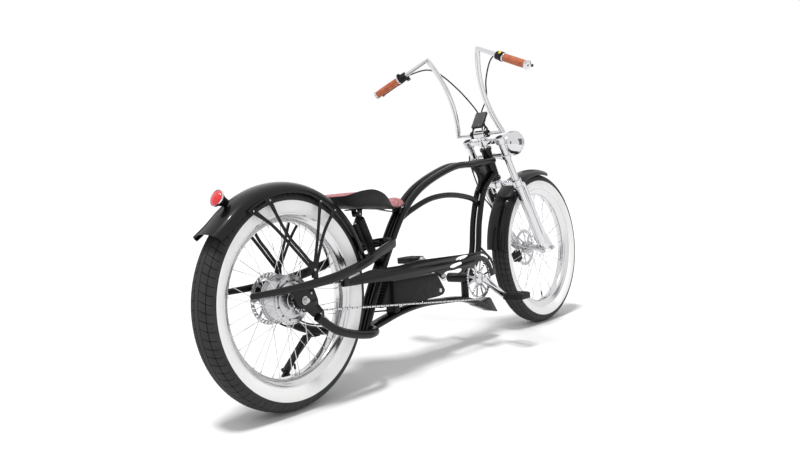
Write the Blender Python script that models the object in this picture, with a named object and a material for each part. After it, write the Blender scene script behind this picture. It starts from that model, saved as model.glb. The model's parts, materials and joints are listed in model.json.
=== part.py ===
# An electric stretch cruiser bicycle, leaning on its kickstand.
# Every piece is laid out in the bike's own frame, in metres: the rear axle is the
# origin, x runs forward, y to the left and z up. One empty leans that frame over
# and sets it on the floor.

import math

import bmesh
import bpy
from mathutils import Matrix, Vector

# Overall layout
WHEELBASE = 1.694
LEAN = math.radians(7.0)
GAP = 0.0003

# Wheels
REAR_TYRE_RADIUS = 0.366
REAR_TYRE_HALF_WIDTH = 0.052
REAR_RIM_HALF_WIDTH = 0.036
FRONT_TYRE_RADIUS = 0.359
FRONT_TYRE_HALF_WIDTH = 0.040
FRONT_RIM_HALF_WIDTH = 0.028
RIM_LIP_RADIUS = 0.2855
RIM_DEPTH = 0.028
TYRE_SQUARENESS = 0.8
WHEEL_STEPS = 36
SPOKE_COUNT = 36
SPOKE_RADIUS = 0.001
ROTOR_RADIUS = 0.090
ROTOR_BAND = 0.016
ROTOR_THICKNESS = 0.002

# Rear hub with the motor, its axle and freewheel
MOTOR_RADIUS = 0.0735
MOTOR_FLANGE_RADIUS = 0.0825
MOTOR_FLANGE_Y = 0.032
REAR_AXLE_RADIUS = 0.007
REAR_AXLE_HALF_LENGTH = 0.112
REAR_ROTOR_Y = 0.0738
FLANGE_THICKNESS = 0.0036

# Front hub
FRONT_FLANGE_RADIUS = 0.030
FRONT_FLANGE_Y = 0.034
FRONT_AXLE_RADIUS = 0.005
FRONT_ROTOR_Y = 0.059

# Drive
CRANK_CENTRE = (1.05, -0.065)
CHAIN_LINE_Y = -0.075
CHAIN_PITCH = 0.0127
CHAIN_HALF_HEIGHT = 0.0041
CHAIN_RUN_STEPS = 3
OUTER_LINK_HALF_WIDTH = 0.0036
INNER_LINK_HALF_WIDTH = 0.0025
CHAINRING_TEETH = 44
SPROCKET_TEETH = 18
TOOTH_CLEARANCE = 0.0004
CHAINRING_THICKNESS = 0.003
SPINDLE_RADIUS = 0.0085
CRANK_LENGTH = 0.1705
CRANK_ANGLE = math.radians(-33.0)
CRANK_Y = 0.102
CRANK_THICKNESS = 0.012
PEDAL_LENGTH = 0.100
PEDAL_WIDTH = 0.092
PEDAL_HEIGHT = 0.024
PEDAL_SPINDLE_RADIUS = 0.005

# Frame tubes
ARCH_RADIUS = 0.014
ARCH_Y = 0.016
ARCH_HEAD_Y = 0.030
INNER_ARCH_RADIUS = 0.012
DOWN_TUBE_RADIUS = 0.0125
LOWER_TUBE_HALF_WIDTH = 0.028
LOWER_TUBE_HALF_HEIGHT = 0.0125
UPPER_STAY_HALF_HEIGHT = 0.017
UPPER_STAY_HALF_WIDTH = 0.010
LOWER_STAY_RADIUS = 0.015
BRACE_POINT = (0.408, 0.100)
BRACE_RADIUS = 0.007
DROPOUT_Y = 0.092
DROPOUT_THICKNESS = 0.006
BB_SHELL_RADIUS = 0.021
HEAD_TUBE_RADIUS = 0.022
HEAD_CUP_RADIUS = 0.026

# Steering: the head axis and the raked fork legs cross the plane y = 0
HEAD_ANGLE = math.radians(66.0)
HEAD_POINT = (1.383, 0.322)
HEAD_TUBE_LOW = 0.345
HEAD_TUBE_HIGH = 0.492
STEERER_RADIUS = 0.0143
LEG_ANGLE = math.radians(59.0)
LEG_POINT = (1.417, 0.325)
LEG_Y = 0.082
STANCHION_RADIUS = 0.015
LEG_RADIUS = 0.019
TRUSS_RADIUS = 0.0098
TRUSS_OFFSET = 0.045
LEG_TOP_Z = 0.533
LEG_BOTTOM_Z = 0.030
LOWER_CROWN_Z = 0.325
UPPER_CROWN_Z = 0.518
CROWN_HALF_HEIGHT = 0.014
CROWN_BOSS_RADIUS = 0.024

# Handlebar
BAR_RADIUS = 0.011
BAR_CENTRE = (1.274, 0.553)
BAR_CORNER_Y = 0.114
ELBOW = (1.098, 0.129, 0.900)
RISER_BOW = 0.036
GRIP_OUTER = (1.034, 0.382, 0.779)
GRIP_LENGTH = 0.132
GRIP_RADIUS = 0.0158
SLEEVE_RADIUS = 0.0135
COLLAR_RADIUS = 0.0178
COLLAR_LENGTH = 0.008
LEVER_CLAMP_INWARD = 0.0275
BUTTON_INWARD = 0.0092
POD_HALF_LENGTH = 0.0088

# Display and headlamp
DISPLAY_WIDTH = 0.056
DISPLAY_HEIGHT = 0.085
DISPLAY_THICKNESS = 0.014
DISPLAY_CENTRE = (1.2775, 0.0, 0.617)
DISPLAY_TILT = math.radians(37.0)
LAMP_RADIUS = 0.059
LAMP_FRONT = (1.56, 0.512)
LAMP_LENGTH = 0.100
LAMP_PIVOT = (1.500, 0.438)

# Fenders
REAR_FENDER_CREST = 0.392
REAR_FENDER_EDGE = 0.335
REAR_FENDER_HALF_WIDTH = 0.062
REAR_FENDER_ARC = (12.0, 143.0)
FRONT_FENDER_CREST = 0.382
FRONT_FENDER_EDGE = 0.352
FRONT_FENDER_HALF_WIDTH = 0.050
FRONT_FENDER_ARC = (77.0, 176.0)
FENDER_THICKNESS = 0.0025
FENDER_BRACKET_Z = 0.269

# Seat and its shock absorber
SEAT_PIVOT = (0.637, 0.267)
SEAT_HALF_WIDTH = 0.135
SHOCK_LOW = (0.470, 0.095)
SHOCK_HIGH = (0.395, 0.256)
SHOCK_BODY_RADIUS = 0.0165
SHOCK_SHAFT_RADIUS = 0.007
SHOCK_CAP_RADIUS = 0.020

# Chain guard, battery and kickstand
GUARD_Y = -0.090
GUARD_THICKNESS = 0.003
GUARD_HOOK_RADIUS = 0.113
GUARD_BAND_RADIUS = 0.072
BATTERY_HALF_WIDTH = 0.050
STAND_PIVOT = (0.228, 0.1275, -0.160)
STAND_FOOT = (0.205, 0.250)
STAND_RADIUS = 0.0085
STAND_FOOT_RADIUS = 0.019
STAND_KNUCKLE_RADIUS = 0.0138
STAND_KNUCKLE_HALF = 0.0115

# Cables
BRAKE_CABLE_RADIUS = 0.0025
MOTOR_CABLE_RADIUS = 0.0035

BLACK = ("Gloss black paint", (0.012, 0.012, 0.014), 0.22, 0.0)
MATTE = ("Matte black plastic", (0.02, 0.02, 0.022), 0.5, 0.0)
CHROME = ("Chrome", (0.78, 0.78, 0.80), 0.10, 1.0)
ALLOY = ("Satin alloy", (0.62, 0.62, 0.64), 0.32, 1.0)
STEEL = ("Brushed steel", (0.55, 0.55, 0.57), 0.30, 1.0)
RUBBER = ("White-walled tyre", (0.09, 0.09, 0.09), 0.8, 0.0)
LEATHER = ("Brown leather", (0.45, 0.16, 0.08), 0.55, 0.0)
ROSE = ("Rose leather", (0.50, 0.21, 0.22), 0.6, 0.0)
RED_LENS = ("Red lens", (0.55, 0.01, 0.01), 0.15, 0.0)
CLEAR_LENS = ("Clear lens", (0.85, 0.88, 0.90), 0.08, 0.0)
YELLOW = ("Yellow button", (0.85, 0.65, 0.05), 0.4, 0.0)
SCREEN = ("Display glass", (0.03, 0.03, 0.035), 0.12, 0.0)

for old in list(bpy.data.objects):
    bpy.data.objects.remove(old)


# Points and paths


def polar(centre, radius, degrees):
    """A point on a circle in the x-z plane, as (x, z)."""
    angle = math.radians(degrees)
    return (centre[0] + radius * math.cos(angle), centre[1] + radius * math.sin(angle))


def arc(centre, radius, start, end, steps):
    return [polar(centre, radius, start + (end - start) * i / steps) for i in range(steps + 1)]


def on_side(points, y):
    return [Vector((x, y, z)) for x, z in points]


def mirrored(point):
    return Vector((point[0], -point[1], point[2]))


def smooth_path(points, count):
    """Evenly spaced points along the Catmull-Rom curve through the given ones."""
    points = [Vector(p) for p in points]
    ends = [2 * points[0] - points[1], *points, 2 * points[-1] - points[-2]]
    fine = []
    for i in range(1, len(ends) - 2):
        p0, p1, p2, p3 = ends[i - 1 : i + 3]
        for step in range(16):
            t = step / 16
            fine.append(
                0.5
                * (
                    2 * p1
                    + (p2 - p0) * t
                    + (2 * p0 - 5 * p1 + 4 * p2 - p3) * t**2
                    + (3 * p1 - p0 - 3 * p2 + p3) * t**3
                )
            )
    fine.append(points[-1])
    return spread(fine, count)


def spread(fine, count):
    """The polyline's own length shared out into count equal steps."""
    lengths = [0.0]
    for a, b in zip(fine, fine[1:]):
        lengths.append(lengths[-1] + (b - a).length)
    result = []
    index = 0
    for i in range(count + 1):
        wanted = lengths[-1] * i / count
        while index < len(fine) - 2 and lengths[index + 1] < wanted:
            index += 1
        part = (wanted - lengths[index]) / (lengths[index + 1] - lengths[index])
        result.append(fine[index].lerp(fine[index + 1], part))
    return result


# Shapes, each returned as a bmesh


def ring_section(radius, sides):
    turn = math.pi / sides
    return [
        (radius * math.cos(turn + 2 * math.pi * i / sides), radius * math.sin(turn + 2 * math.pi * i / sides))
        for i in range(sides)
    ]


def oval_section(half_width, half_height, sides, squareness=1.0):
    points = []
    for a, b in ring_section(1.0, sides):
        x = math.copysign(abs(a) ** squareness, a)
        z = math.copysign(abs(b) ** squareness, b)
        points.append((half_width * x, half_height * z))
    return points


def sweep(path, section, closed=False, up=(0.0, 0.0, 1.0), sizes=None):
    """Carries a section along a path with mitred corners; section points are (sideways, upwards)."""
    bm = bmesh.new()
    count = len(path)
    steps = [(path[(i + 1) % count] - path[i]).normalized() for i in range(count)]
    upward = Vector(up)
    rings = []
    for i, point in enumerate(path):
        before = steps[i - 1] if i or closed else steps[0]
        after = steps[i] if i < count - 1 or closed else steps[i - 1]
        tangent = (before + after).normalized()
        upward = (upward - tangent * upward.dot(tangent)).normalized()
        side = tangent.cross(upward)
        bend = after - before
        stretch = 1 / max(0.3, tangent.dot(before)) - 1
        outward = bend.normalized() if bend.length > 1e-6 else Vector((0, 0, 0))
        size = sizes[i] if sizes else 1.0
        ring = []
        for a, b in section:
            offset = (side * a + upward * b) * size
            offset += outward * offset.dot(outward) * stretch
            ring.append(bm.verts.new(point + offset))
        rings.append(ring)
    pairs = list(zip(rings, rings[1:]))
    if closed:
        pairs.append((rings[-1], rings[0]))
    else:
        bm.faces.new(rings[0])
        bm.faces.new(rings[-1])
    for first, second in pairs:
        for j in range(len(section)):
            k = (j + 1) % len(section)
            bm.faces.new((first[j], first[k], second[k], second[j]))
    bmesh.ops.recalc_face_normals(bm, faces=bm.faces)
    return bm


def tube(path, radius, sides=10, up=(0.0, 0.0, 1.0)):
    return sweep([Vector(p) for p in path], ring_section(radius, sides), up=up)


def rod(start, end, radius, sides=12):
    start = Vector(start)
    end = Vector(end)
    up = (0, 1, 0) if abs((end - start).normalized().y) < 0.9 else (0, 0, 1)
    return tube([start, end], radius, sides, up)


def turned(profile, steps, centre, axis=(0, 1, 0)):
    """Spins (radius, distance along the axis) points round an axis; a radius of 0 makes a pole."""
    axis = Vector(axis).normalized()
    down = Vector((0, 0, -1)) if abs(axis.z) < 0.9 else Vector((-1, 0, 0))
    down = (down - axis * down.dot(axis)).normalized()
    side = axis.cross(down)
    centre = Vector(centre)
    bm = bmesh.new()
    columns = []
    for radius, along in profile:
        foot = centre + axis * along
        if radius == 0:
            columns.append([bm.verts.new(foot)])
            continue
        column = []
        for i in range(steps):
            angle = 2 * math.pi * i / steps
            column.append(bm.verts.new(foot + (down * math.cos(angle) + side * math.sin(angle)) * radius))
        columns.append(column)
    pairs = list(zip(columns, columns[1:]))
    if len(columns[0]) > 1:
        pairs.append((columns[-1], columns[0]))
    for first, second in pairs:
        for i in range(steps):
            j = (i + 1) % steps
            corners = [first[i % len(first)], first[j % len(first)], second[j % len(second)], second[i % len(second)]]
            corners = list(dict.fromkeys(corners))
            if len(corners) > 2:
                bm.faces.new(corners)
    bmesh.ops.recalc_face_normals(bm, faces=bm.faces)
    return bm


def plate(outline, low_y, high_y, holes=()):
    """A flat sheet with the given (x, z) outline and holes, between two values of y."""
    bm = bmesh.new()
    for loop in [outline, *holes]:
        verts = [bm.verts.new((x, low_y, z)) for x, z in loop]
        for i, vert in enumerate(verts):
            bm.edges.new((vert, verts[(i + 1) % len(verts)]))
    bmesh.ops.triangle_fill(bm, use_beauty=True, edges=bm.edges[:])
    made = bmesh.ops.extrude_face_region(bm, geom=bm.faces[:])
    lifted = [item for item in made["geom"] if isinstance(item, bmesh.types.BMVert)]
    bmesh.ops.translate(bm, vec=(0, high_y - low_y, 0), verts=lifted)
    bmesh.ops.recalc_face_normals(bm, faces=bm.faces)
    return bm


def block(low, high):
    bm = bmesh.new()
    middle = [(a + b) / 2 for a, b in zip(low, high)]
    size = [b - a for a, b in zip(low, high)]
    bmesh.ops.create_cube(bm, size=1)
    bmesh.ops.scale(bm, vec=size, verts=bm.verts)
    bmesh.ops.translate(bm, vec=middle, verts=bm.verts)
    return bm


def softened(bm, width, segments=1):
    bmesh.ops.bevel(bm, geom=bm.edges[:], offset=width, segments=segments, affect="EDGES", profile=0.5)
    return bm


def moved(bm, matrix):
    bm.transform(matrix)
    return bm


def solid(bm, name="shape"):
    mesh = bpy.data.meshes.new(name)
    bm.to_mesh(mesh)
    bm.free()
    obj = bpy.data.objects.new(name, mesh)
    bpy.context.scene.collection.objects.link(obj)
    return obj


def combine(base, tools, operation):
    """Applies a Boolean with each tool in turn and removes the tools."""
    for tool in tools:
        step = base.modifiers.new(operation.title(), "BOOLEAN")
        step.operation = operation
        step.object = tool
        step.solver = "EXACT"
    bpy.context.view_layer.update()
    graph = bpy.context.evaluated_depsgraph_get()
    mesh = bpy.data.meshes.new_from_object(base.evaluated_get(graph))
    base.modifiers.clear()
    base.data = mesh
    for tool in tools:
        bpy.data.objects.remove(tool)
    return base


def union(shapes):
    parts = [solid(bm) for bm in shapes]
    return combine(parts[0], parts[1:], "UNION")


def cut(base, shapes):
    return combine(base, [solid(bm) for bm in shapes], "DIFFERENCE")


# Pivots: empties on the joint axes, in the bike's frame

PIVOTS = {}


def add_pivot(name, place=(0, 0, 0), axis=(0, 0, 1), parent=None):
    """An empty whose own z axis is the joint's axis; the bike's frame is its parent unless one is named."""
    turn = Vector((0, 0, 1)).rotation_difference(Vector(axis))
    matrix = Matrix.Translation(Vector(place)) @ turn.to_matrix().to_4x4()
    empty = bpy.data.objects.new(name + "_pivot", None)
    empty.empty_display_size = 0.05
    bpy.context.scene.collection.objects.link(empty)
    above = PIVOTS[parent][1] if parent else Matrix.Identity(4)
    empty.parent = PIVOTS[parent][0] if parent else None
    empty.matrix_local = above.inverted() @ matrix
    PIVOTS[name] = (empty, matrix)


MATERIALS = {}


def material(look):
    name, colour, roughness, metallic = look
    if name not in MATERIALS:
        made = bpy.data.materials.new(name)
        made.use_nodes = True
        shader = made.node_tree.nodes["Principled BSDF"]
        shader.inputs["Base Color"].default_value = (*colour, 1)
        shader.inputs["Roughness"].default_value = roughness
        shader.inputs["Metallic"].default_value = metallic
        MATERIALS[name] = made
    return MATERIALS[name]


def add_piece(name, shape, look, pivot="bike"):
    """Names a shape, gives it its material and hangs it on its pivot."""
    obj = solid(shape) if isinstance(shape, bmesh.types.BMesh) else shape
    empty, matrix = PIVOTS[pivot]
    obj.name = name
    obj.data.name = name
    obj.data.transform(matrix.inverted())
    obj.parent = empty
    obj.data.materials.clear()
    obj.data.materials.append(material(look))
    obj.data.shade_smooth()
    obj.data.set_sharp_from_angle(angle=math.radians(35))
    return obj


# Lines of the steering


def head_point(z, y=0.0):
    return Vector((HEAD_POINT[0] - (z - HEAD_POINT[1]) / math.tan(HEAD_ANGLE), y, z))


def leg_point(z, y=0.0, ahead=0.0):
    """A point of a fork leg's axis at height z, moved forward square to the leg."""
    x = LEG_POINT[0] - (z - LEG_POINT[1]) / math.tan(LEG_ANGLE)
    return Vector((x + ahead * math.sin(LEG_ANGLE), y, z + ahead * math.cos(LEG_ANGLE)))


HEAD_AXIS = Vector((-math.cos(HEAD_ANGLE), 0, math.sin(HEAD_ANGLE)))
LEG_AXIS = Vector((-math.cos(LEG_ANGLE), 0, math.sin(LEG_ANGLE)))
GRIP_AXIS = {
    "left": (Vector(GRIP_OUTER) - Vector(ELBOW)).normalized(),
    "right": (mirrored(GRIP_OUTER) - mirrored(ELBOW)).normalized(),
}
GRIP_INNER = Vector(GRIP_OUTER) - GRIP_AXIS["left"] * GRIP_LENGTH
SHOCK_AXIS = Vector((SHOCK_HIGH[0] - SHOCK_LOW[0], 0, SHOCK_HIGH[1] - SHOCK_LOW[1])).normalized()


def handed(side, point):
    return Vector(point) if side == "left" else mirrored(point)


def tyre_drop(radius, half_width):
    """How far a leaned tyre's lowest point lies below its axle."""
    return max(r * math.cos(LEAN) + abs(y) * math.sin(LEAN) for r, y in tyre_profile(radius, half_width, 0.01))


# Wheels


def tyre_profile(radius, half_width, bead_half_width):
    """A squared ellipse open at the beads, as (radius, y)."""
    low_angle = -52
    reach = abs(math.sin(math.radians(low_angle))) ** TYRE_SQUARENESS
    half_height = (radius - RIM_LIP_RADIUS - GAP) / (1 + reach)
    middle = radius - half_height
    points = []
    for degrees in (low_angle, -14, 25, 65, 115, 155, 194, 180 - low_angle):
        c = math.cos(math.radians(degrees))
        s = math.sin(math.radians(degrees))
        y = half_width * math.copysign(abs(c) ** TYRE_SQUARENESS, c)
        r = middle + half_height * math.copysign(abs(s) ** TYRE_SQUARENESS, s)
        points.append((r, y))
    return points


def make_tyre(name, centre, radius, half_width, pivot):
    profile = tyre_profile(radius, half_width, RIM_LIP_RADIUS)
    add_piece(name, turned(profile, WHEEL_STEPS, (centre, 0, 0)), RUBBER, pivot)


def spoke_ends(index, flange_radius, flange_y, crosses, rim_radius):
    """One laced spoke: alternate spokes go to opposite flanges and lean forward and back in turn."""
    side = 1 if index % 2 == 0 else -1
    leading = 1 if (index // 2) % 2 == 0 else -1
    rim_angle = 360 / SPOKE_COUNT * index
    hub_angle = rim_angle + leading * crosses * 720 / SPOKE_COUNT
    hub_y = side * (flange_y + leading * (FLANGE_THICKNESS / 2 + SPOKE_RADIUS + 4 * GAP))
    hub = polar((0, 0), flange_radius, hub_angle)
    rim = polar((0, 0), rim_radius, rim_angle)
    return Vector((hub[0], hub_y, hub[1])), Vector((rim[0], side * 0.008, rim[1]))


def make_rim(name, centre, half_width, flange_radius, flange_y, crosses, pivot):
    well = RIM_LIP_RADIUS - RIM_DEPTH
    profile = [
        (RIM_LIP_RADIUS, half_width),
        (RIM_LIP_RADIUS, -half_width),
        (well, -half_width * 0.55),
        (well, half_width * 0.55),
    ]
    shapes = [turned(profile, WHEEL_STEPS, (centre, 0, 0))]
    for index in range(SPOKE_COUNT):
        hub, rim = spoke_ends(index, flange_radius, flange_y, crosses, well + 0.005)
        start = Vector((centre, 0, 0)) + hub
        end = Vector((centre, 0, 0)) + rim
        shapes.append(tube([start, end], SPOKE_RADIUS * 1.15, 3, (0, 1, 0)))
    add_piece(name, union(shapes), CHROME, pivot)


def make_rotor(name, centre, y, pivot):
    """A brake disc: a band held by six slanted arms on a bolted ring."""
    outline = arc((centre, 0), ROTOR_RADIUS, 0, 342, 19)
    inner = ROTOR_RADIUS - ROTOR_BAND
    holes = [arc((centre, 0), 0.0165, 0, 324, 9)]
    for i in range(6):
        start = 60 * i
        window = arc((centre, 0), inner, start + 5, start + 52, 2)
        window += arc((centre, 0), 0.030, start + 20, start - 15, 1)
        holes.append(window)
    disc = plate(outline, y - ROTOR_THICKNESS / 2, y + ROTOR_THICKNESS / 2, holes)
    add_piece(name, disc, STEEL, pivot)


def make_rear_hub():
    bore = REAR_AXLE_RADIUS + 0.0008
    half = FLANGE_THICKNESS / 2
    rotor_face = REAR_ROTOR_Y - ROTOR_THICKNESS / 2 - GAP
    profile = [
        (bore, -0.0460),
        (0.030, -0.0460),
        (0.062, -0.0370),
        (MOTOR_FLANGE_RADIUS, -MOTOR_FLANGE_Y - half),
        (MOTOR_FLANGE_RADIUS, -MOTOR_FLANGE_Y + half),
        (MOTOR_RADIUS, -MOTOR_FLANGE_Y + half),
        (MOTOR_RADIUS, MOTOR_FLANGE_Y - half),
        (MOTOR_FLANGE_RADIUS, MOTOR_FLANGE_Y - half),
        (MOTOR_FLANGE_RADIUS, MOTOR_FLANGE_Y + half),
        (0.060, 0.0380),
        (0.027, 0.0450),
        (0.027, rotor_face),
        (bore, rotor_face),
    ]
    add_piece("rear_motor_hub", turned(profile, 16, (0, 0, 0)), ALLOY, "rear_wheel")


def make_front_hub():
    bore = FRONT_AXLE_RADIUS + 0.0008
    half = FLANGE_THICKNESS / 2
    rotor_face = FRONT_ROTOR_Y - ROTOR_THICKNESS / 2 - GAP
    profile = [
        (bore, -0.050),
        (0.014, -0.050),
        (0.016, -FRONT_FLANGE_Y - half),
        (FRONT_FLANGE_RADIUS, -FRONT_FLANGE_Y - half),
        (FRONT_FLANGE_RADIUS, -FRONT_FLANGE_Y + half),
        (0.016, -FRONT_FLANGE_Y + half),
        (0.016, FRONT_FLANGE_Y - half),
        (FRONT_FLANGE_RADIUS, FRONT_FLANGE_Y - half),
        (FRONT_FLANGE_RADIUS, FRONT_FLANGE_Y + half),
        (0.019, FRONT_FLANGE_Y + half),
        (0.019, FRONT_FLANGE_Y + half + 0.004),
        (0.025, FRONT_FLANGE_Y + half + 0.006),
        (0.025, rotor_face),
        (bore, rotor_face),
    ]
    add_piece("front_hub", turned(profile, 12, (WHEELBASE, 0, 0)), ALLOY, "front_wheel")


def make_axle(name, centre, radius, half_length, nut_radius, nut_from, pivot):
    """A rod with a washer and a hexagonal nut outside each dropout."""
    washer = nut_radius * 1.15
    half = [(radius, nut_from), (washer, nut_from), (washer, nut_from + 0.002), (radius, nut_from + 0.002)]
    half += [(radius, half_length), (0, half_length)]
    profile = [(r, -y) for r, y in reversed(half)] + half
    shapes = [turned(profile, 8, (centre, 0, 0))]
    for sign in (-1, 1):
        start = (centre, sign * (nut_from + 0.001), 0)
        end = (centre, sign * (nut_from + 0.009), 0)
        shapes.append(rod(start, end, nut_radius, 6))
    add_piece(name, union(shapes), STEEL, pivot)


# Drive


def chain_path():
    """Points at the chain's pins round the sprocket and the chainring, with a straight run between them."""
    big = CHAIN_PITCH / 2 / math.sin(math.pi / CHAINRING_TEETH)
    small = CHAIN_PITCH / 2 / math.sin(math.pi / SPROCKET_TEETH)
    distance = math.hypot(*CRANK_CENTRE)
    slope = math.degrees(math.atan2(CRANK_CENTRE[1], CRANK_CENTRE[0]))
    over = 90 + math.degrees(math.asin((big - small) / distance))
    front = arc(CRANK_CENTRE, big, slope + over, slope - over, round(CHAINRING_TEETH * over / 180))
    back = arc((0, 0), small, slope - over, slope - 360 + over, round(SPROCKET_TEETH * (180 - over) / 180))
    path = []
    for run in (front, back):
        follows = back if run is front else front
        path += run
        for i in range(1, CHAIN_RUN_STEPS):
            share = i / CHAIN_RUN_STEPS
            path.append([a + (b - a) * share for a, b in zip(run[-1], follows[0])])
    return on_side(path, CHAIN_LINE_Y)


def make_chain():
    """One closed band of links whose width alternates between inner and outer plates."""
    path = chain_path()
    bm = bmesh.new()
    rings = []
    count = len(path)
    for i, point in enumerate(path):
        along = (path[(i + 1) % count] - path[i - 1]).normalized()
        normal = along.cross(Vector((0, 1, 0)))
        half_width = OUTER_LINK_HALF_WIDTH if i % 2 else INNER_LINK_HALF_WIDTH
        ring = []
        for across, out in ((-1, -1), (1, -1), (1, 1), (-1, 1)):
            place = point + Vector((0, across * half_width, 0)) + normal * (out * CHAIN_HALF_HEIGHT)
            ring.append(bm.verts.new(place))
        rings.append(ring)
    for i in range(count):
        first = rings[i]
        second = rings[(i + 1) % count]
        for j in range(4):
            k = (j + 1) % 4
            bm.faces.new((first[j], first[k], second[k], second[j]))
    bmesh.ops.recalc_face_normals(bm, faces=bm.faces)
    add_piece("drive_chain", bm, STEEL)


def toothed_outline(centre, teeth):
    """Teeth whose tips run just inside the chain's inner edge."""
    pitch_radius = CHAIN_PITCH / 2 / math.sin(math.pi / teeth)
    chain_inside = (pitch_radius - CHAIN_HALF_HEIGHT) * math.cos(math.pi / teeth)
    tip = chain_inside - TOOTH_CLEARANCE
    root = tip - 0.0045
    points = []
    for i in range(teeth):
        start = 360 / teeth * i
        for share, radius in ((0.0, root), (0.45, root), (0.72, tip)):
            points.append(polar(centre, radius, start + 360 / teeth * share))
    return points


def make_chainring():
    holes = [arc(CRANK_CENTRE, 0.012, 0, 315, 7)]
    for i in range(5):
        start = 72 * i
        window = arc(CRANK_CENTRE, 0.066, start + 8, start + 64, 3)
        window += arc(CRANK_CENTRE, 0.034, start + 52, start + 20, 1)
        holes.append(window)
    half = CHAINRING_THICKNESS / 2
    outline = toothed_outline(CRANK_CENTRE, CHAINRING_TEETH)
    ring = plate(outline, CHAIN_LINE_Y - half, CHAIN_LINE_Y + half, holes)
    add_piece("chainring", ring, CHROME, "crank")


def make_freewheel():
    bore = REAR_AXLE_RADIUS + 0.0015
    hole = arc((0, 0), 0.0215, 0, 315, 7)
    outline = toothed_outline((0, 0), SPROCKET_TEETH)
    disc = plate(outline, CHAIN_LINE_Y - 0.0012, CHAIN_LINE_Y + 0.0012, [hole])
    profile = [
        (bore, -0.0465),
        (0.0235, -0.0465),
        (0.0235, -0.0800),
        (0.0180, -0.0840),
        (bore, -0.0840),
    ]
    body = turned(profile, 10, (0, 0, 0))
    add_piece("freewheel_sprocket", union([body, disc]), MATTE, "freewheel")


def crank_outline(centre, end, big, small):
    """Two round ends joined by straight sides."""
    angle = math.degrees(math.atan2(end[1] - centre[1], end[0] - centre[0]))
    return arc(centre, big, angle + 90, angle + 270, 5) + arc(end, small, angle - 90, angle + 90, 4)


def pedal_centre(side):
    angle = CRANK_ANGLE if side == "right" else CRANK_ANGLE + math.pi
    return polar(CRANK_CENTRE, CRANK_LENGTH, math.degrees(angle))


def make_cranks():
    half = CRANK_THICKNESS / 2
    reach = CRANK_Y + half + 0.010 + PEDAL_WIDTH
    for side, sign in (("right", -1), ("left", 1)):
        end = pedal_centre(side)
        low, high = sorted((sign * (CRANK_Y - half), sign * (CRANK_Y + half)))
        outline = crank_outline(CRANK_CENTRE, end, 0.0175, 0.0135)
        spindle = rod((end[0], sign * CRANK_Y, end[1]), (end[0], sign * (reach - 0.004), end[1]), PEDAL_SPINDLE_RADIUS, 10)
        if side == "right":
            centre = (CRANK_CENTRE[0], 0, CRANK_CENTRE[1])
            axle_end = CRANK_Y + half
            spider = [
                (0, -CRANK_Y),
                (0.026, -CRANK_Y),
                (0.026, CHAIN_LINE_Y - CHAINRING_THICKNESS / 2 - GAP),
                (SPINDLE_RADIUS, CHAIN_LINE_Y - CHAINRING_THICKNESS / 2 - GAP),
                (SPINDLE_RADIUS, axle_end),
                (0, axle_end),
            ]
            arm = union([plate(outline, low, high), spindle, turned(spider, 16, centre)])
        else:
            arm = solid(plate(outline, low, high, [arc(CRANK_CENTRE, SPINDLE_RADIUS + 3 * GAP, 0, 337.5, 15)]))
            arm = combine(arm, [solid(spindle)], "UNION")
        add_piece("crank_arm_" + side, arm, CHROME, "crank")


def make_pedals():
    start = CRANK_Y + CRANK_THICKNESS / 2 + 0.010
    for side, sign in (("right", -1), ("left", 1)):
        x, z = pedal_centre(side)
        half_x = PEDAL_LENGTH / 2
        half_z = PEDAL_HEIGHT / 2
        low, high = sorted((sign * start, sign * (start + PEDAL_WIDTH)))
        inset = 0.012
        corners = [
            (-half_x + inset, low),
            (half_x - inset, low),
            (half_x, low + inset),
            (half_x, high - inset),
            (half_x - inset, high),
            (-half_x + inset, high),
            (-half_x, high - inset),
            (-half_x, low + inset),
        ]
        windows = []
        for x_sign in (-1, 1):
            near, far = sorted((x_sign * 0.014, x_sign * (half_x - 0.011)))
            windows.append([(near, low + 0.012), (far, low + 0.016), (far, high - 0.016), (near, high - 0.012)])
        body = plate(corners, -half_z, half_z, windows)
        turn = Matrix(((1, 0, 0, x), (0, 0, 1, 0), (0, 1, 0, z), (0, 0, 0, 1)))
        bore = rod((x, low - 0.01, z), (x, high + 0.01, z), PEDAL_SPINDLE_RADIUS + 0.0007, 12)
        pedal = cut(solid(moved(body, turn)), [bore])
        bpy.context.view_layer.update()
        fixed = bmesh.new()
        fixed.from_mesh(pedal.data)
        bmesh.ops.recalc_face_normals(fixed, faces=fixed.faces)
        fixed.to_mesh(pedal.data)
        fixed.free()
        add_piece("pedal_" + side, pedal, MATTE, "pedal_" + side)


# Frame

ARCH_LINE = [
    (0.372, -0.178),
    (0.432, -0.068),
    (0.531, 0.090),
    (0.647, 0.242),
    (0.787, 0.340),
    (1.010, 0.411),
    (1.165, 0.420),
    (1.318, 0.433),
]
INNER_ARCH_LINE = [(0.640, 0.214), (0.715, 0.246), (0.855, 0.286), (1.001, 0.294), (1.151, 0.273), (1.218, 0.240)]
DOWN_LINE = [(1.340, 0.372), (1.245, 0.303), (1.187, 0.173), (1.158, 0.043), (1.120, -0.018), (1.062, -0.055)]
LOWER_LINE = [
    (0.378, -0.178),
    (0.476, -0.158),
    (0.601, -0.137),
    (0.731, -0.130),
    (0.868, -0.138),
    (1.013, -0.152),
    (1.120, -0.182),
    (1.215, -0.222),
]
UPPER_STAY_LINE = [
    (-0.222, 0.095, 0.045),
    (-0.050, 0.095, 0.045),
    (0.124, 0.095, 0.053),
    (0.227, 0.094, 0.067),
    (0.336, 0.087, 0.089),
    (0.423, 0.073, 0.112),
]
LOWER_STAY_LINE = [
    (0.050, 0.095, -0.062),
    (0.106, 0.095, -0.102),
    (0.152, 0.095, -0.127),
    (0.201, 0.095, -0.144),
    (0.252, 0.095, -0.157),
]


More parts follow.
